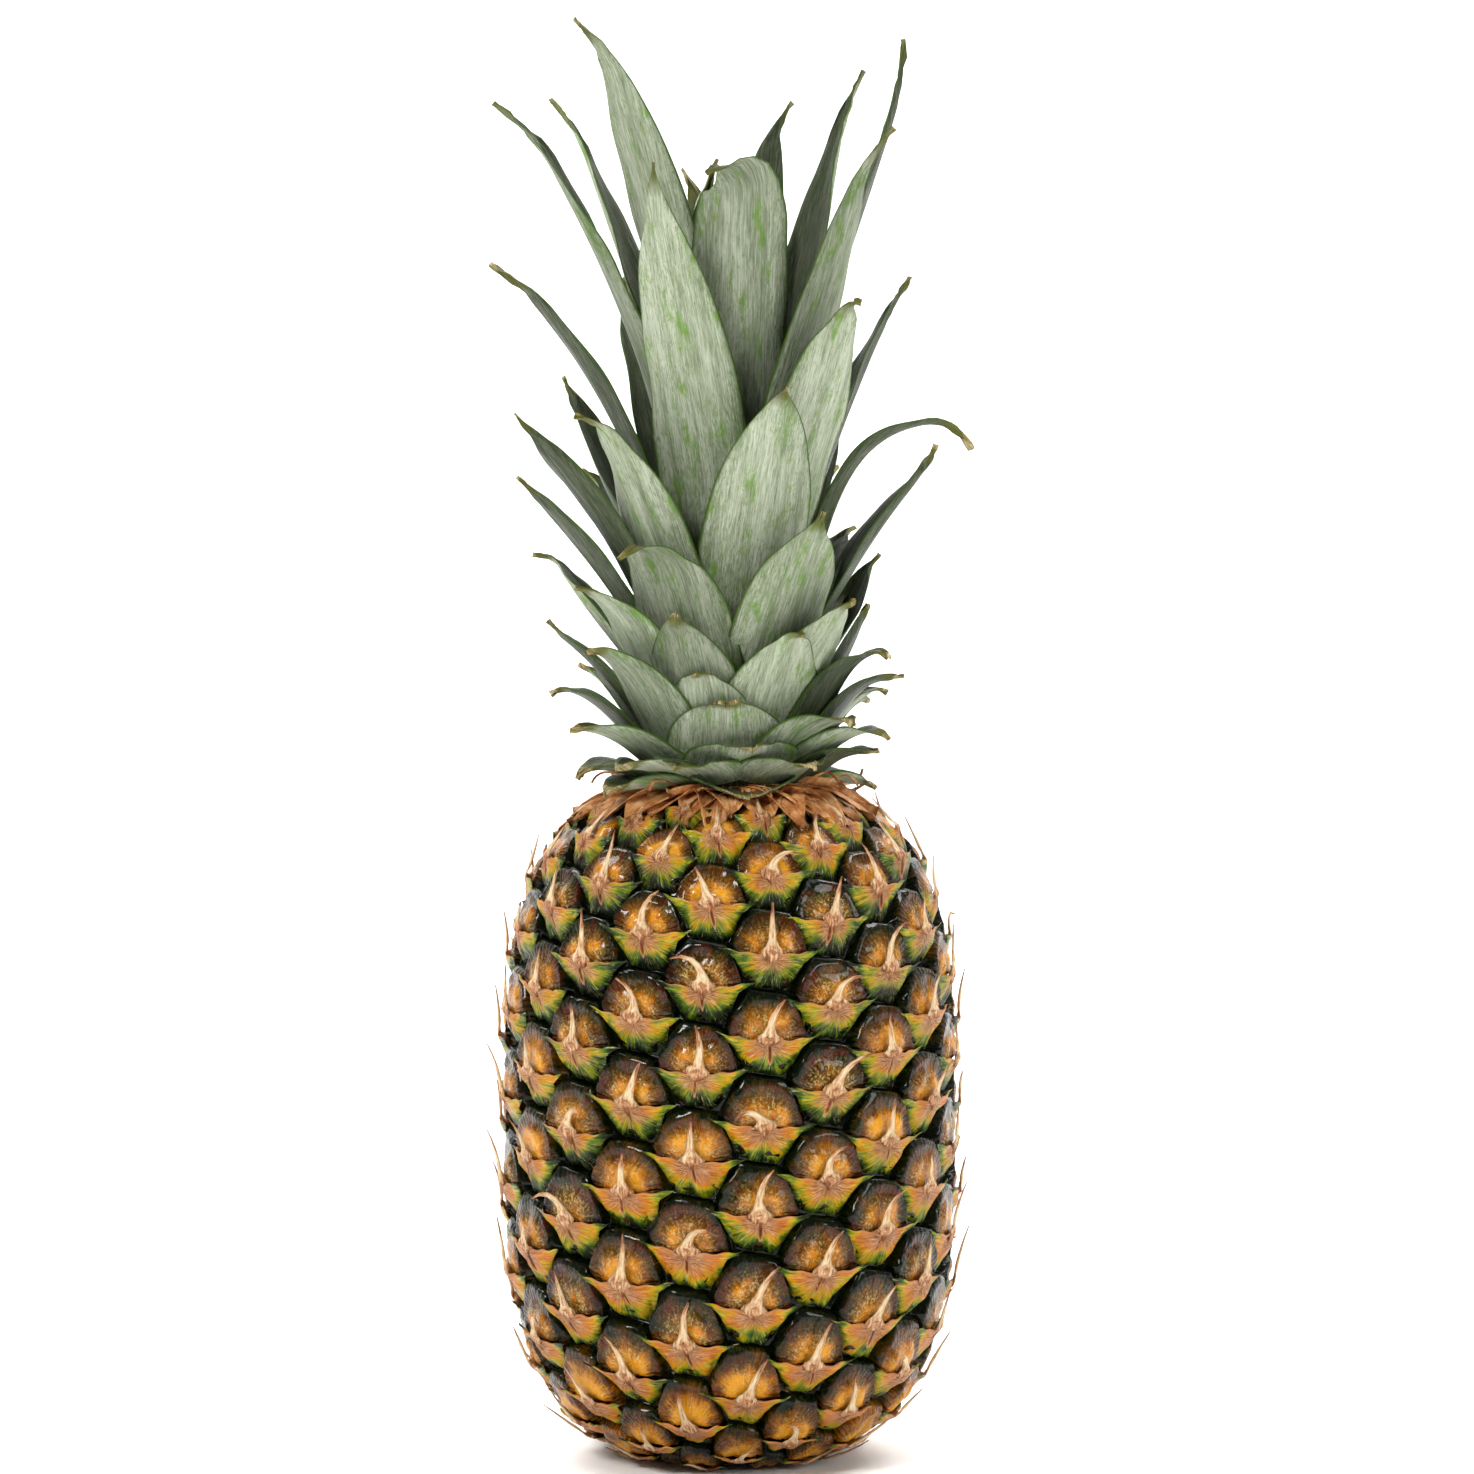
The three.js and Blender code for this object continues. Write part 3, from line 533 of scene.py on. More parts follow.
def rind_piece():
    """Rings from the eye's middle out to the hexagon. The eye is a low mound, 1 less a power of the reach,
    with a bell for the lobe on each side of the thorn, and a crease and a ridge inside its scalloped rim,
    which falls into the groove. Under the bract it is set back."""
    around, rings = 6 * EDGE_STEPS, len(RING_SHARES)
    share = np.concatenate([[0], np.repeat(RING_SHARES, around)])[None, :]
    border_x, border_y = (np.concatenate([[0], np.tile(side, rings)]) for side in fruitlet_border())
    n = FRUITLETS[:, None]
    x = share * border_x + 0 * n
    y = EYE_CENTRE + share * (border_y - EYE_CENTRE) + 0 * n
    corner = np.hypot(border_x / OVAL[0], (border_y - EYE_CENTRE) / OVAL[1])
    rise = y - LIP_HEIGHT
    angle = np.arctan2(x, rise)
    turn = TURN * chance(n, 11)
    reach = np.abs(x / EYE_HALF_WIDTH) ** EYE_POWER + np.abs(rise / EYE_RISE) ** EYE_POWER
    reach = reach ** (1 / EYE_POWER)
    own = n + 0.5 * (x > 0)  # each side of the thorn has chances of its own
    lobe_x, lobe_y = 3.3 + 2.2 * chance(own, 16), 3.4 + 3 * chance(own, 17)
    lobe = np.exp(-((np.abs(x) - lobe_x) / 2.4) ** 2 - ((rise - lobe_y) / (2.2 + 1.2 * chance(own, 18))) ** 2)
    crease_reach = CREASE_REACH + 0.05 * np.sin(3 * angle + turn)
    crease = CREASE_RELIEF * np.exp(-(((reach - crease_reach) / 0.07) ** 2))
    ridge = CREASE_RELIEF * np.exp(-(((reach - RIDGE_REACH) / 0.08) ** 2))
    mound = DOME_RELIEF * (1 - reach ** 4) + LOBE_RELIEF * lobe - crease + ridge
    mound = mound + WAVE_RELIEF * ripple(0.6 * x, 0.6 * y, chance(n, 12))
    is_eye = smoothstep(-1.5, 0.5, rise)
    level = (mound * is_eye - 1.2 * (1 - is_eye)) * swell(n)
    scallop = 0.03 * np.sin(11 * angle + turn) + 0.022 * np.sin(19 * angle - turn)
    fall = smoothstep(0.9 + scallop, 1.0, share * corner ** 0.4)
    fall = np.maximum(fall, smoothstep(0.96, 1.0, share))
    points = on_fruitlets(n, x, y, level * (1 - fall) - GROOVE_DEPTH * fall, FRUIT_HEIGHT)
    points[..., 2] = np.maximum(points[..., 2], SCAR_LIFT)

    hub = np.arange(len(FRUITLETS))[:, None] * (1 + rings * around)
    faces = ring_faces(hub[:, 0] + 1, rings, around)[:, [0, 3, 2, 1]].tolist()
    inner = hub + 1 + np.arange(around)
    fan = np.stack([hub + 0 * inner, inner, np.roll(inner, -1, axis=1)], axis=-1)
    faces += fan.reshape(-1, 3).tolist()
    height = points[..., 2]
    values = {
        "rim": np.where(rise > 0, np.maximum(reach, 0.55 * share + 0.45 * fall), 0.9) + 0.1 * fall,
        "rib": EYE_RIBS * angle,
        "gold": (smoothstep(45, 8, height) * (0.7 + 0.9 * chance(n, 19)) + 0.7 * smoothstep(150, 168, height)
                 + (chance(n, 14) - 0.5) + 0.9 * chance(own, 15) * lobe),
        "flow": flow_lines(x, y, chance(n, 13), 3),
    }
    piece = new_piece("rind", points, faces, values, eye_rind, weld=True)
    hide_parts("fruit")


# The bracts, one below each lip

BRACT_COLUMNS = 33
BRACT_ROWS = np.array([0, 0.04, 0.12, 0.24, 0.38, 0.54, 0.7, 0.86, 1.0])  # down the front, by the depth
BRACT_BACK = np.array([1.0, 0.3, 0.0])  # and up the hidden back
BRACT_HALF_WIDTH = 5.8  # of the body, low down
WING_LENGTH = 7.2  # from there out to a tip, and up to WING_CHANCE more
WING_CHANCE = 1.4
WING_FADE = 3.9  # the depth in which the wings narrow to a third
LIP_RELIEF = 1.7
BRACT_FALL = 4.3  # from there back into the groove
FOLD_RELIEF = 0.42
KEEL_RELIEF = 0.7
KEEL_FADE = 5  # the depth in which the keel sinks to a third


def lip_line(x, reach, n):
    """The lip's height: a shoulder under the thorn, a slow rise to both tips, and small waves."""
    shoulder = 0.9 * np.exp(-((x / 2.3) ** 2))
    return LIP_HEIGHT + shoulder + 1.7 * np.abs(reach) ** 1.8 + 0.22 * np.sin(1.2 * x + 6 * chance(n, 21))


def bract_front(depth):
    """How far the bract stands out: most at the lip, and back into the groove with the depth to a power."""
    return LIP_RELIEF - BRACT_FALL * (depth / BRACT_DEPTH) ** 1.6


def bracts_piece():
    """A scale whose half width falls from the lip's tips to its body by an exponential of the depth, with
    sine folds that spread from the thorn's foot and a bell for the keel under it. A ring of points down its
    front and up its back is carried across."""
    n = SCALED[:, None, None]
    reach = np.linspace(-1, 1, BRACT_COLUMNS)[None, :, None]
    reach = np.sign(reach) * np.abs(reach) ** 1.15
    down = np.concatenate([BRACT_ROWS, BRACT_BACK])[None, None, :]
    is_back = np.arange(down.size) >= len(BRACT_ROWS)
    depth = BRACT_DEPTH * down * (0.94 + 0.06 * reach) + 0 * n
    half_width = BRACT_HALF_WIDTH + (WING_LENGTH + WING_CHANCE * chance(n, 22)) * np.exp(-depth / WING_FADE)
    x = reach * half_width
    tilt = 0.07 * (chance(n, 23) - 0.5) - 0.05
    y = lip_line(x, reach, n) - depth + tilt * x
    angle = np.arctan2(x, LIP_HEIGHT + 1.5 - y)
    folds = FOLD_RELIEF * np.sin(6 * angle + TURN * chance(n, 25)) * smoothstep(0.5, 4, np.hypot(x, depth))
    keel = KEEL_RELIEF * np.exp(-((x / 2.6) ** 2) - depth / KEEL_FADE) + 0.4 * np.exp(-depth / 0.7)
    relief = bract_front(depth) * swell(n) - (0.4 + 1.7 * down) * reach ** 4 + folds + keel
    relief = relief + 0.3 * ripple(0.8 * x, 0.8 * y, chance(n, 24)) - 0.7 * is_back * (1 - 0.7 * reach ** 4)
    points = on_fruitlets(n, x, y, relief)
    slit = (x - (0.5 - chance(n, 26)) * 0.5 * depth) / (0.4 + 0.3 * chance(n, 71))
    slit = np.exp(-slit * slit) * (chance(n, 28) > 0.3)
    slit = slit * smoothstep(1.2, 2.5, depth) * smoothstep(8.5, 5, depth)
    values = {
        "flow": flow_lines(x, y + 1.5, chance(n, 27), 7),
        "edge": np.clip(np.hypot(x / 14.5, depth / 10.0), 0, 1.2)
        + 0.2 * np.exp(-((x / 2.6) ** 2)) * smoothstep(3, 7, depth),
        "lip": np.clip(1 - depth / 0.9, 0, 1) * smoothstep(11.5, 7.5, np.abs(x)),
        "slit": slit,
        "foot": np.exp(-((x / (3.2 + 0.9 * depth)) ** 2) - (depth / 5) ** 2),
        "low": 1.2 * smoothstep(130, 30, points[..., 2]) * smoothstep(12, 6, np.abs(x))
        + 0.9 * (chance(n, 29) - 0.5),
    }
    faces = tube_faces(len(SCALED), BRACT_COLUMNS, down.size)
    new_piece("fruitlet_bracts", points, faces, values, bract_skin)


THORN_STATIONS = np.array([-0.28, -0.16, -0.07, 0, 0.06, 0.14, 0.27, 0.43, 0.61, 0.8, 1])  # by the length
THORN_RING = np.array([[-1, 0], [-0.55, 0.55], [0, 1], [0.55, 0.55], [1, 0], [0, -0.6]])  # across, out
THORN_HALF_WIDTH = 1.1
THORN_TIP = 0.2  # half the width that is left at the tip
THORN_SHOULDER = 2.2  # what the shoulders add to the half width at the lip
CURLED_BEND = 260  # in degrees, for a curled thorn, from one side to the other
PLAIN_BEND = 60


def thorns_piece():
    """A tapering, ridged spike that grows out of the bract below the lip. Its half width is a power of the
    share of the length that is left, with a bell at the lip for the shoulders, and its foot is hollow in the
    middle. Its line is summed from a heading that turns along its length, and stands out by a power of t."""
    n = SCALED[:, None, None]
    t = THORN_STATIONS[None, :, None]
    up = np.clip(t, 0, 1)
    height = skin_points(0, n, 0 * n)[..., 2]
    length = THORN_LENGTH * (0.95 + 0.4 * chance(n, 31) + 0.2 * smoothstep(140, 165, height))
    is_curled = chance(n, 32) > 0.55
    curl = np.where(is_curled, CURLED_BEND, PLAIN_BEND) * (chance(n, 34) - 0.5)
    heading = np.radians(34 * (chance(n, 33) - 0.5) + curl * up ** 1.5) * smoothstep(-0.1, 0.1, t)
    step = length * np.diff(t, axis=1)
    line_x = np.concatenate([0 * n, np.cumsum(np.sin(heading[:, 1:]) * step, axis=1)], axis=1)
    line_y = np.concatenate([0 * n, np.cumsum(np.cos(heading[:, 1:]) * step, axis=1)], axis=1)
    line_y = line_y + LIP_HEIGHT + 0.4 + t[:, :1] * length
    under = bract_front(np.clip(-t * length, 0, None)) * swell(n)
    stand = (0.8 + 2.8 * chance(n, 35)) * up ** 1.9 + is_curled * 1.2 * up ** 2
    stand = stand * smoothstep(0, 12, height)
    keel = KEEL_RELIEF * np.exp(np.clip(t * length, None, 0) / KEEL_FADE)
    line_out = np.where(t < 0, under, LIP_RELIEF * swell(n)) + keel + stand
    half = THORN_TIP + THORN_HALF_WIDTH * (1 - up) ** 0.85 + THORN_SHOULDER * np.exp(-((t / 0.12) ** 2))
    half = half * smoothstep(-0.36, 0, t) ** 0.7
    thick = 0.18 + 0.7 * (1 - up)
    hollow = np.exp(-(((t - 0.03) / 0.14) ** 2))
    line_out = line_out - 0.9 * smoothstep(-0.02, -0.28, t)
    across, out = THORN_RING.T[:, None, None]
    out = out * (1 - hollow * 1.1 * (np.abs(across) < 0.3))
    side_x = line_x + half * across * np.cos(heading)
    side_y = line_y - half * across * np.sin(heading)
    points = on_fruitlets(n, side_x, side_y, line_out + thick * out)
    fibres = np.broadcast_arrays(half * across, 0.2 * t * length, 20 * chance(n, 36) + out)
    values = {"along": t + 0 * side_x, "fibres": np.stack(fibres, axis=-1)}
    faces = tube_faces(len(SCALED), len(THORN_STATIONS), len(THORN_RING))
    new_piece("thorns", points, faces, values, dry_husk)


SCAR_RADII = [0, 5, 9.5, 12, 14, 16.5, 17.5, 17]
SCAR_HEIGHTS = [0.2, 0.18, 0.22, 0.12, 0.05, 0, 0.3, 1.4]
SCAR_TOP = 1.9  # where its list of radii closes, inside the rind
SCAR_POINTS = 48


def stalk_scar():
    """The cut stalk's scar: a list of radii and heights turned round the axis, hollow underneath, with an
    uneven edge. It is what the fruit stands on."""
    angle = np.linspace(0, 2 * np.pi, SCAR_POINTS, endpoint=False)
    radius = np.array(SCAR_RADII + [0])[:, None]
    height = np.array(SCAR_HEIGHTS + [SCAR_TOP])[:, None]
    uneven = 1 + 0.03 * np.sin(5 * angle + 1) + 0.02 * np.sin(11 * angle)
    x, y = radius * uneven * np.cos(angle), radius * uneven * np.sin(angle)
    points = np.stack([x, y, height + 0.06 * ripple(0.8 * x, 0.8 * y, 0.3)], axis=-1)
    points[..., 2] = np.maximum(points[..., 2], 0)
    faces = tube_faces(1, len(radius), SCAR_POINTS)
    new_piece("stalk_scar", points, faces, {}, scar_material(), weld=True)


# The crown's leaves, each [azimuth, tip's distance from the axis, tip's height above the crown's foot, width,
# lean at the root, lean at the tip, twist, fullness where the tip is blunt], as in the CAD

SHORT_FRONT = [
    [-50, 43, 3, 24, 70, 98, 0],
    [8, 34, 2, 30, 62, 85, 0],
    [-66, 44, 7, 24, 64, 108, 0],
    [-40, 45, 9, 25, 58, 98, 0],
    [-20, 40, 11, 28, 50, 75, 0],
    [32, 41, 11, 28, 50, 78, 0],
    [66, 42, 12, 24, 58, 98, 0],
    [9, 36, 16, 33, 38, 62, 0],
    [62, 47, 18, 26, 50, 95, 0],
    [-58, 48, 19, 26, 48, 88, 0],
    [44, 47, 22, 27, 42, 90, 0],
    [-2, 33, 28, 34, 24, 32, 0],
    [-84, 47, 29, 24, 46, 80, 0],
    [78, 46, 31, 22, 44, 95, 0],
    [-14, 33, 36, 28, 20, 28, 0],
    [66, 46, 39, 25, 38, 88, 0],
    [-50, 47, 40, 28, 36, 74, 0],
    [-88, 48, 45, 22, 36, 52, 0],
    [26, 40, 46, 30, 26, 36, 0],
    [-22, 40, 49, 29, 26, 44, 0],
    [84, 36, 50, 25, 26, 18, 0],
    [44, 44, 54, 27, 26, 36, 0],
    [-52, 49, 56, 27, 32, 66, 0],
]
LONG_FRONT = [
    [118, 42, 63, 20, 26, 10, 0],
    [-96, 48, 67, 18, 26, 22, 10],
    [-30, 47, 71, 31, 24, 52, 0],
    [30, 47, 74, 28, 24, 36, 8],
    [-78, 56, 83, 20, 26, 44, -14],
    [-125, 44, 86, 18, 22, 30, 16],
    [140, 40, 87, 17, 22, 24, 0],
    [102, 57, 90, 23, 28, 42, 12],
    [82, 66, 96, 17, 13, 102, 0],
    [-68, 60, 99, 19, 24, 46, -18],
    [-46, 49, 103, 26, 20, 34, 10],
    [16, 50, 108, 31, 16, 30, 0],
    [-112, 47, 109, 21, 18, 24, 14],
    [40, 48, 131, 26, 14, 18, -6, 8],
    [104, 48, 136, 23, 14, 26, 12],
    [-86, 60, 140, 21, 11, 40, -14],
    [-24, 50, 162, 29, 9, 20, 4],
    [-165, 30, 166, 18, 8, 8, 0],
    [6, 33, 172, 27, 6, 10, 0, 12],
    [54, 45, 174, 24, 8, 12, -8],
    [-76, 58, 182, 24, 9, 30, 24],
    [158, 31, 183, 21, 7, 14, 0],
    [-118, 51, 185, 20, 8, 24, -20],
    [126, 40, 189, 25, 7, 14, 20],
    [76, 48, 195, 21, 7, 12, -20],
    [-48, 48, 204, 27, 6, 24, -6],
]


def back_leaf(i, count, sector, low, high):
    """A leaf of the back: the golden turn folded into a sector, and a height by a power of i over count."""
    azimuth = 180 + (i * GOLDEN_TURN) % sector - sector / 2
    height = low + (high - low) * ((i + 0.5) / count) ** 1.15
    lean = np.interp(height, [0, 30, 60, 110, 200], [66, 44, 26, 16, 7])
    bend = np.interp(height, [0, 30, 60, 110, 200], [98, 80, 48, 30, 18])
    reach = np.interp(height, [0, 20, 60, 90, 150, 200], [40, 45, 42, 47, 46, 38]) + 6 * (chance(i, 3) - 0.5)
    return [azimuth, reach, height, 26 - 4 * chance(i, 4), lean, bend, 0]


SHORT_BACK = [back_leaf(i, 14, 160, 1, 56) for i in range(14)]
LONG_BACK = [back_leaf(i, 8, 100, 66, 172) for i in range(8)]
SHORT_TAPER = (2.6, 1.0)
LONG_TAPER = (4.6, 1.35)
HUSK_TAPER = (1.5, 1.0)

# The grid of a blade: stations along it, and points across each face
LONG_GRID = (44, 13)
SHORT_GRID = (30, 13)
HUSK_GRID = (14, 9)

# Tips that have dried and curled over, by the leaf's azimuth: [share where it starts, bend outwards in
# degrees, bend to the right]. The others curl a little by chance.
CURLED_TIPS = {
    6: [0.86, 45, -112],
    -30: [0.8, 50, -100],
    -14: [0.84, 80, -60],
    9: [0.88, 130, 20],
    -2: [0.88, 120, -30],
    40: [0.94, 80, 30],
    16: [0.93, 40, 10],
    -96: [0.8, 50, 50],
    26: [0.88, 70, 25],
    8: [0.9, 30, 20],
    -20: [0.86, 60, -60],
    32: [0.88, 80, 60],
}
DRY_FROM = ([0, 14, 60, 200], [0.76, 0.88, 0.94, 0.97])  # by the tip's height, the share where a leaf dries
# Leaves at the sides, by azimuth, that get hardly any bloom: painted shade, which shows them dark green as if
# they were in shade
SHADE_PAINTED_LEAVES = (-112, -88, -86, -84, -78, -68, 66, 76, 78, 82, 84, 102, 104, 118, 140)


def turned(vectors, axis, angle):
    """Vectors turned about a unit axis by an angle in radians, by Rodrigues' formula."""
    cos, sin = np.cos(angle)[:, None], np.sin(angle)[:, None]
    along = (vectors @ axis)[:, None] * axis
    return vectors * cos + np.cross(axis, vectors) * sin + along * (1 - cos)


def leaf_points(leaf, grid, taper, seed, thinness=1.0, crumple=1.0):
    """A leaf's blade. Its line is the CAD's cubic curve from the core to the tip, curled over at the tip. Its
    section is an arc, a gutter, whose width tapers as (1 - s^a)^b, with waved margins and thinner edges, and
    it is flat and narrow where it curls. Gives rings of points, round the outer face and back along the inner
    one, and their values."""
    stations, across = grid
    azimuth, reach, height, width, root_lean, tip_lean, twist = leaf[:7]
    fullness = leaf[7] if len(leaf) > 7 else taper[0]
    root_height = np.interp(height, *ROOT_HEIGHTS)
    root = np.array([np.interp(root_height, CORE_HEIGHTS, CORE_RADII) - ROOT_SUNK, root_height])
    tip = np.array([reach, height])
    hold = (0.34 + 0.0015 * abs(tip_lean - root_lean)) * np.hypot(*(tip - root))
    lean = np.radians([root_lean, tip_lean])
    knots = np.array([
        root,
        root + hold * np.array([np.sin(lean[0]), np.cos(lean[0])]),
        tip - hold * np.array([np.sin(lean[1]), np.cos(lean[1])]),
        tip,
    ])
    s = np.linspace(0, 1, stations)
    s = s + 0.1 * np.sin(np.pi * s) * s  # closer together towards the tip
    weights = np.stack([(1 - s) ** 3, 3 * s * (1 - s) ** 2, 3 * s * s * (1 - s), s ** 3], axis=-1)
    line = weights @ knots
    turn = np.radians(azimuth)
    outward = np.array([np.sin(turn), -np.cos(turn), 0])
    path = line[:, :1] * outward + np.stack([0 * s, 0 * s, line[:, 1]], axis=-1)
    along = np.gradient(path, s, axis=0)
    along /= np.linalg.norm(along, axis=1, keepdims=True)
    sideways = np.array([np.cos(turn), np.sin(turn), 0])

    by_chance = [0.84, 70 * (chance(seed, 41) - 0.35), 60 * (chance(seed, 42) - 0.5)]
    curl_start, bend, swing = CURLED_TIPS.get(azimuth, by_chance)
    curl = smoothstep(curl_start, 1.0, s) ** 0.8
    front = np.cross(sideways, along[-1])
    along = turned(along, sideways, np.radians(bend) * curl)
    along = turned(along, front, -np.radians(swing) * curl)
    pace = np.linalg.norm(np.diff(path, axis=0), axis=1)[:, None]
    start = np.argmax(s > curl_start - 0.02)
    walked = path[start] + np.cumsum(((along[1:] + along[:-1]) / 2 * pace)[start:], axis=0)
    path = np.concatenate([path[:start + 1], walked])
    side = sideways - (along @ sideways)[:, None] * along
    side /= np.linalg.norm(side, axis=1, keepdims=True)
    out = np.cross(side, along)
    roll = np.radians(twist) * (s * s)[:, None]
    side, out = side * np.cos(roll) + out * np.sin(roll), out * np.cos(roll) - side * np.sin(roll)

    folded = min(abs(bend) / 60, 1)
    wide = width * np.clip(1 - s ** fullness, 0, 1) ** taper[1]
    wide = np.maximum(wide * (1 - 0.5 * folded * smoothstep(curl_start + 0.02, curl_start + 0.1, s)), 0.8)
    gutter = np.interp(s, [0, 0.25, 0.8, 1], [0.72, 0.55, 0.6, 0.9])
    gutter = gutter * (1 - 0.85 * folded * smoothstep(curl_start - 0.12, curl_start + 0.02, s))
    radius = wide / 2 / gutter
    thick = np.interp(s, [0, 0.3, 1], [1.9, 1.2, 0.5]) * thinness
    v = np.linspace(-1, 1, across)
    arc = (gutter[:, None] * v)[..., None]
    face = out[:, None] * np.cos(arc) + side[:, None] * np.sin(arc)
    middle = path[:, None] + (face - out[:, None]) * radius[:, None, None]
    length = np.concatenate([[0], np.cumsum(pace)])[:, None]
    wave = 0.8 * np.abs(v) ** 3 * ripple(0.16 * length, 2 * v, chance(seed, 43))
    crease = 0.45 * ripple(0.05 * length, 5 * v, chance(seed, 44))
    shrivel = 0.7 * ripple(0.5 * length, 4 * v, chance(seed, 46)) * smoothstep(0.8, 0.95, s)[:, None]
    uneven = crumple * (wave + crease + shrivel) * smoothstep(0.05, 0.3, s)[:, None]
    middle = middle + face * uneven[..., None]
    half = (thick[:, None] * (1 - 0.7 * v * v) / 2)[..., None]
    points = np.concatenate([middle + face * half, (middle - face * half)[:, ::-1]], axis=1)
    points[..., 2] += CROWN_FOOT

    both = np.concatenate([v, v[::-1]])
    ring = np.ones_like(points[..., 0])
    is_outer = np.concatenate([np.ones(across), np.zeros(across)])
    # The listed side leaves lose their bloom as painted shade; the others lose some of it at random, as real
    # leaves do.
    bare_or_painted_shade = 1 if azimuth in SHADE_PAINTED_LEAVES else 0.5 * chance(seed, 48) ** 2
    dry_from = np.interp(height, *DRY_FROM) + 0.06 * (chance(seed, 47) - 0.5)
    blade = np.broadcast_arrays(both * wide[:, None] / 2, length, 40 * chance(seed, 45))
    values = {
        "blade": np.stack(blade, axis=-1),
        "bloom": (0.08 + is_outer * (0.9 - 0.86 * bare_or_painted_shade)) * ring,
        "edge": np.abs(both) * ring,
        "tip": s[:, None] * ring,
        "dead": smoothstep(dry_from - 0.12, dry_from + 0.06, s)[:, None] * ring,
    }
    return points, values


def leaves_piece(name, blades, material):
    """One mesh of several blades that have the same grid."""
    points = np.stack([blade[0] for blade in blades])
    values = {key: np.stack([blade[1][key] for blade in blades]) for key in blades[0][1]}
    faces = tube_faces(len(blades), points.shape[1], points.shape[2])
    return new_piece(name, points, faces, values, material)


def long_leaves():
    """One piece for each of the CAD's long leaves, in the same order: by the height of the tip."""
    leaves = sorted(LONG_FRONT + LONG_BACK, key=lambda leaf: leaf[2])
    for i, leaf in enumerate(leaves):
        blade = leaf_points(leaf, LONG_GRID, LONG_TAPER, i + 100)
        piece = leaves_piece(f"long_leaf_{i + 1:02d}", [blade], leaf_skin)
        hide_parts(f"crown_leaf_{i + 1:02d}")


def short_leaves():
    """The short leaves of the lowest whorls as one piece, which stands for the CAD's stem with its leaves."""
    leaves = SHORT_FRONT + SHORT_BACK
    blades = [leaf_points(leaf, SHORT_GRID, SHORT_TAPER, i + 10) for i, leaf in enumerate(leaves)]
    piece = leaves_piece("short_leaves", blades, leaf_skin)
    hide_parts("crown_stem")


CORE_POINTS = 32


def crown_core():
    """The stem inside the crown: the CAD's list of radii, turned round the axis."""
    heights = np.array([0] + CORE_HEIGHTS)[:, None]
    radii = np.array([1.0] + CORE_RADII)[:, None]
    angle = np.linspace(0, 2 * np.pi, CORE_POINTS, endpoint=False)
    points = np.stack([radii * np.cos(angle), radii * np.sin(angle), heights + 0 * angle], axis=-1)
    points[..., 2] += CROWN_FOOT
    ring = np.ones_like(points[..., 0])
    values = {"blade": points, "bloom": 0 * ring, "edge": 0 * ring, "tip": 0 * ring}
    new_piece("crown_core", points, tube_faces(1, len(radii), CORE_POINTS), values, leaf_skin)


# Dry bracts round the crown's foot, which hide where it joins the fruit

DRAPED_BRACTS = 31
RAISED_BRACTS = 13
DRY_THREADS = 16
SHOULDER = ([29, 34, 43], [0.2, -2.2, -7.0])  # by the distance from the axis, the height of the fruit there


def collar_bracts():
    """Rings of dry, crumpled blades, the CAD's collar with more and thinner bracts: broad ones draped over
    the fruit's shoulder, shorter ones that stand up, and curled threads. Each is a leaf like the crown's."""
    blades = []
    for i in range(DRAPED_BRACTS):
        azimuth = 360 / DRAPED_BRACTS * (i + 0.6 * chance(i, 52))
        reach = 34 + 9 * chance(i, 51)
        height = np.interp(reach, *SHOULDER) + chance(i, 53)
        lean, twist = 102 + 22 * chance(i, 55), 50 * (chance(i, 56) - 0.5)
        leaf = [azimuth, reach, height, 15 + 7 * chance(i, 54), 80, lean, twist]
        blades.append(leaf_points(leaf, HUSK_GRID, HUSK_TAPER, i + 200, thinness=0.5, crumple=2.0))
    for i in range(RAISED_BRACTS):
        azimuth = 360 / RAISED_BRACTS * (i + 0.7 * chance(i, 57))
        reach, height = 28 + 7 * chance(i, 58), 2.5 + 4 * chance(i, 59)
        lean, twist = 45 + 70 * chance(i, 61), 80 * (chance(i, 62) - 0.5)
        leaf = [azimuth, reach, height, 10 + 4 * chance(i, 60), 66, lean, twist]
        blades.append(leaf_points(leaf, HUSK_GRID, HUSK_TAPER, i + 230, thinness=0.5, crumple=2.0))
    for i in range(DRY_THREADS):
        azimuth = 360 / DRY_THREADS * (i + chance(i, 63))
        leaf = [azimuth, 32 + 9 * chance(i, 64), 6 * chance(i, 65), 2.6, 80, 20 + 150 * chance(i, 66), 0]
        blades.append(leaf_points(leaf, HUSK_GRID, HUSK_TAPER, i + 260, thinness=0.4, crumple=0.5))
    leaves_piece("collar_bracts", blades, collar_husk)


rind_piece()
bracts_piece()
thorns_piece()
stalk_scar()
long_leaves()
short_leaves()
crown_core()
collar_bracts()


# The studio, in metres

PAPER_REACH = 12.0  # to the front and to both sides
PAPER_RUN = 1.6  # from the fruit back to the bend
PAPER_BEND = 0.8
PAPER_RISE = 3.0
WORLD_LIGHT = 0.16


def studio_paper():
    """A floor that curves up into a backdrop: a flat run, a quarter circle and an upright, swept sideways."""
    turn = np.linspace(0, np.pi / 2, 16)
    y = np.concatenate([[-PAPER_REACH], PAPER_RUN + PAPER_BEND * np.sin(turn), [PAPER_RUN + PAPER_BEND]])
    z = np.concatenate([[0], PAPER_BEND * (1 - np.cos(turn)), [PAPER_BEND + PAPER_RISE]])
    x = np.array([-PAPER_REACH, PAPER_REACH])
    points = np.stack(np.broadcast_arrays(x, y[:, None], z[:, None]), axis=-1).reshape(-1, 3)
    rows = np.arange(len(y) - 1)[:, None] * 2
    faces = (rows + np.array([[0, 1, 3, 2]])).tolist()
    mesh = bpy.data.meshes.new("studio_paper")
    mesh.from_pydata(points.tolist(), [], faces)
    mesh.polygons.foreach_set("use_smooth", np.ones(len(mesh.polygons), bool))
    mesh.materials.append(paper_material())
    paper = bpy.data.objects.new("studio_paper", mesh)
    bpy.context.scene.collection.objects.link(paper)


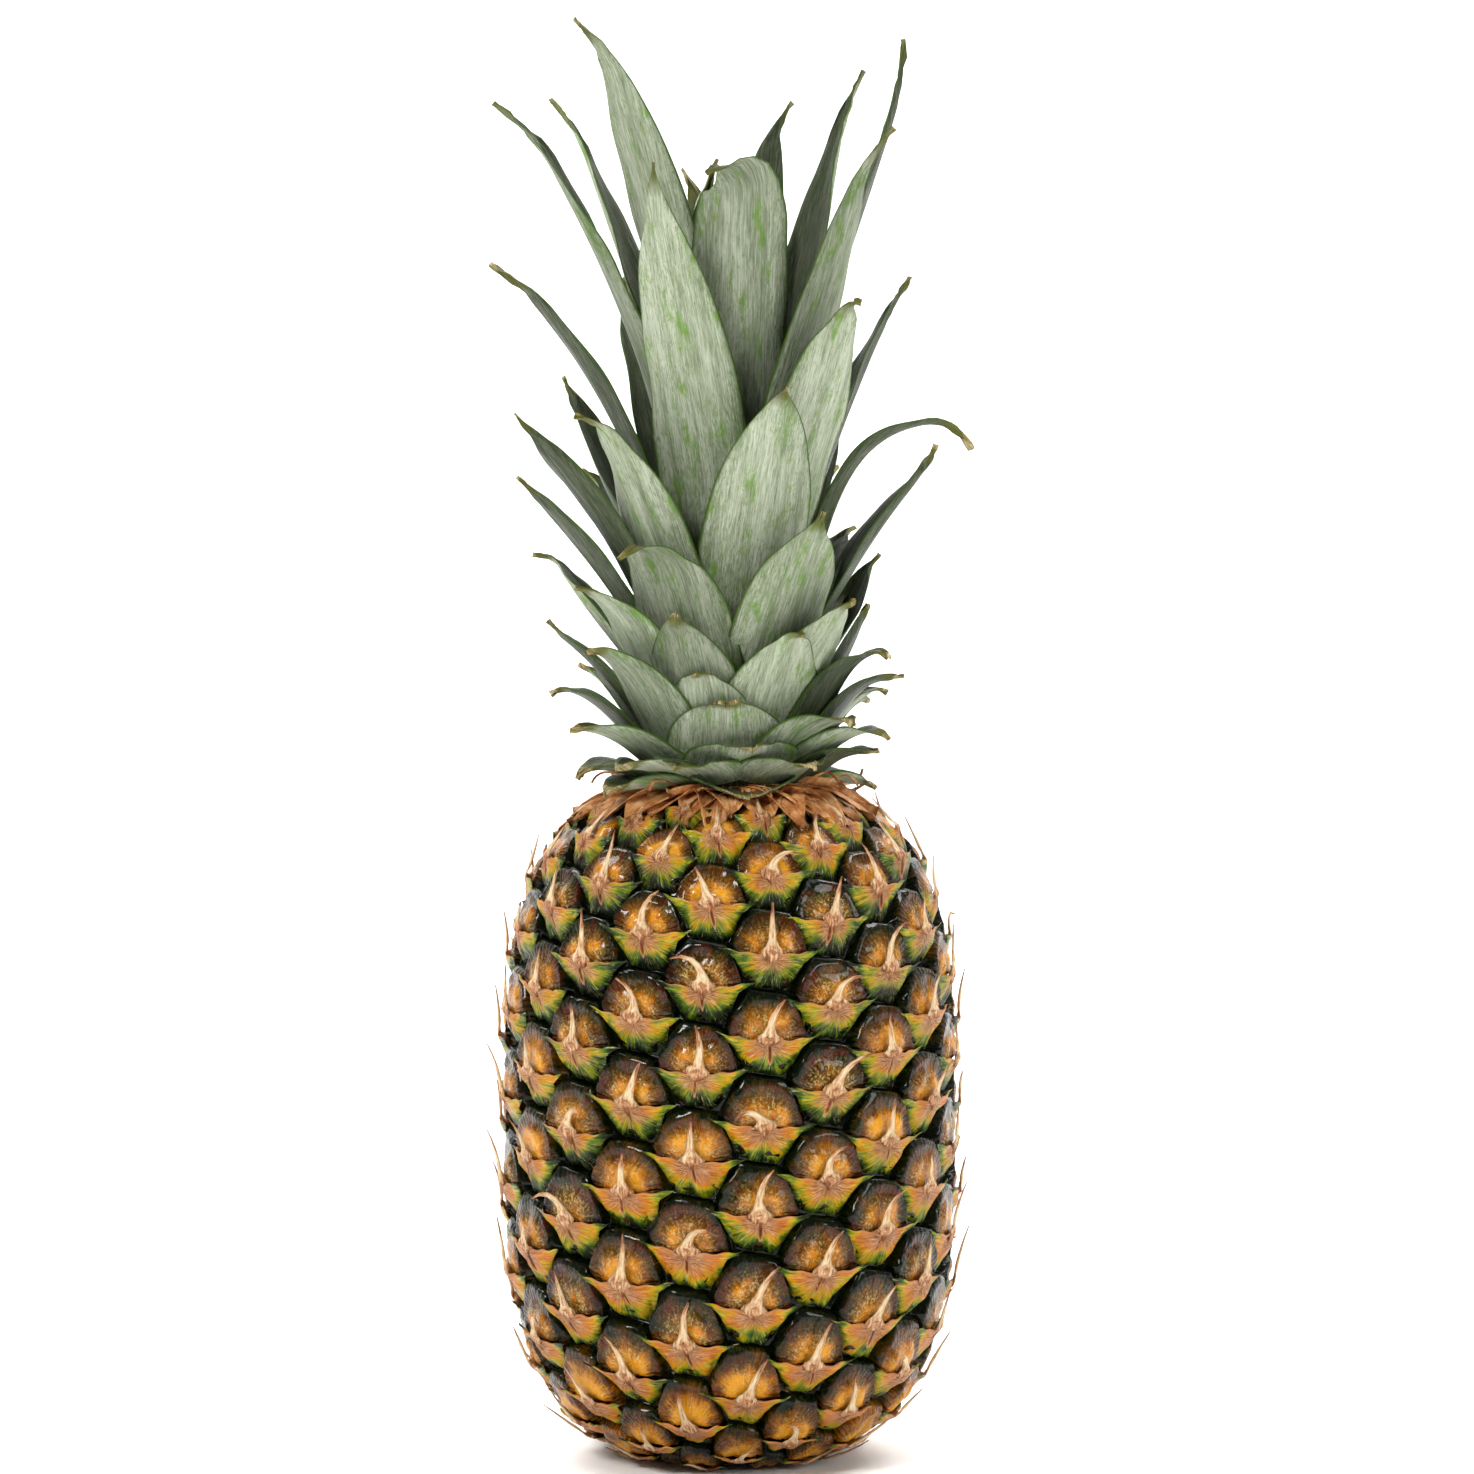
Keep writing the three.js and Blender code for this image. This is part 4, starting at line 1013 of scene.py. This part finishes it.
def soft_light(name, place, aim, size, power, kind="AREA"):
    """A square panel light that faces its aim. A SUN is an even light from a wide part of the sky instead:
    its size is that part's angle, and its power is for each square metre."""
    light = bpy.data.lights.new(name, kind)
    setattr(light, "size" if kind == "AREA" else "angle", size)
    light.energy = power
    panel = bpy.data.objects.new(name, light)
    panel.location = place
    direction = np.array(aim) - np.array(place)
    panel.rotation_euler = (math.acos(-direction[2] / np.linalg.norm(direction)), 0,
                            math.atan2(direction[1], direction[0]) - math.pi / 2)
    bpy.context.scene.collection.objects.link(panel)


studio_paper()
soft_light("key_light", (-0.9, -1.3, 1.3), (0, 0, 0.18), 0.45, 26)
soft_light("fill_light", (1.3, -1.0, 0.7), (0, 0, 0.18), 0.6, 10)
soft_light("top_light", (0.1, 0.5, 1.6), (0, 0, 0.2), 1.2, 2.3, kind="SUN")
soft_light("left_paper_light", (-1.3, 0.9, 2.2), (0, 2.3, 0.3), 1.2, 60)
soft_light("right_paper_light", (1.3, 0.9, 2.2), (0, 2.3, 0.3), 1.2, 60)
world = bpy.data.worlds.new("studio")
world.use_nodes = True
sky = world.node_tree.nodes["Background"]
fill(world.node_tree, sky, {"Color": (1, 1, 1, 1), "Strength": WORLD_LIGHT})
bpy.context.scene.world = world
bpy.context.scene.view_settings.view_transform = "Standard"

# The camera, at the photograph's angle: a long lens, a little above the fruit's middle
CAMERA_DISTANCE = 1.5
CAMERA_RISE = math.radians(4)
CAMERA_AIM = (0.00182, 0, 0.188)
CAMERA_LENS = 140.9  # in millimetres, on a sensor 36 mm wide
camera = bpy.data.objects.new("camera", bpy.data.cameras.new("camera"))
camera.data.lens = CAMERA_LENS
camera.data.sensor_width = 36
camera.location = (
    CAMERA_AIM[0],
    CAMERA_AIM[1] - CAMERA_DISTANCE * math.cos(CAMERA_RISE),
    CAMERA_AIM[2] + CAMERA_DISTANCE * math.sin(CAMERA_RISE),
)
camera.rotation_euler = (math.pi / 2 - CAMERA_RISE, 0, 0)
bpy.context.scene.collection.objects.link(camera)
bpy.context.scene.camera = camera
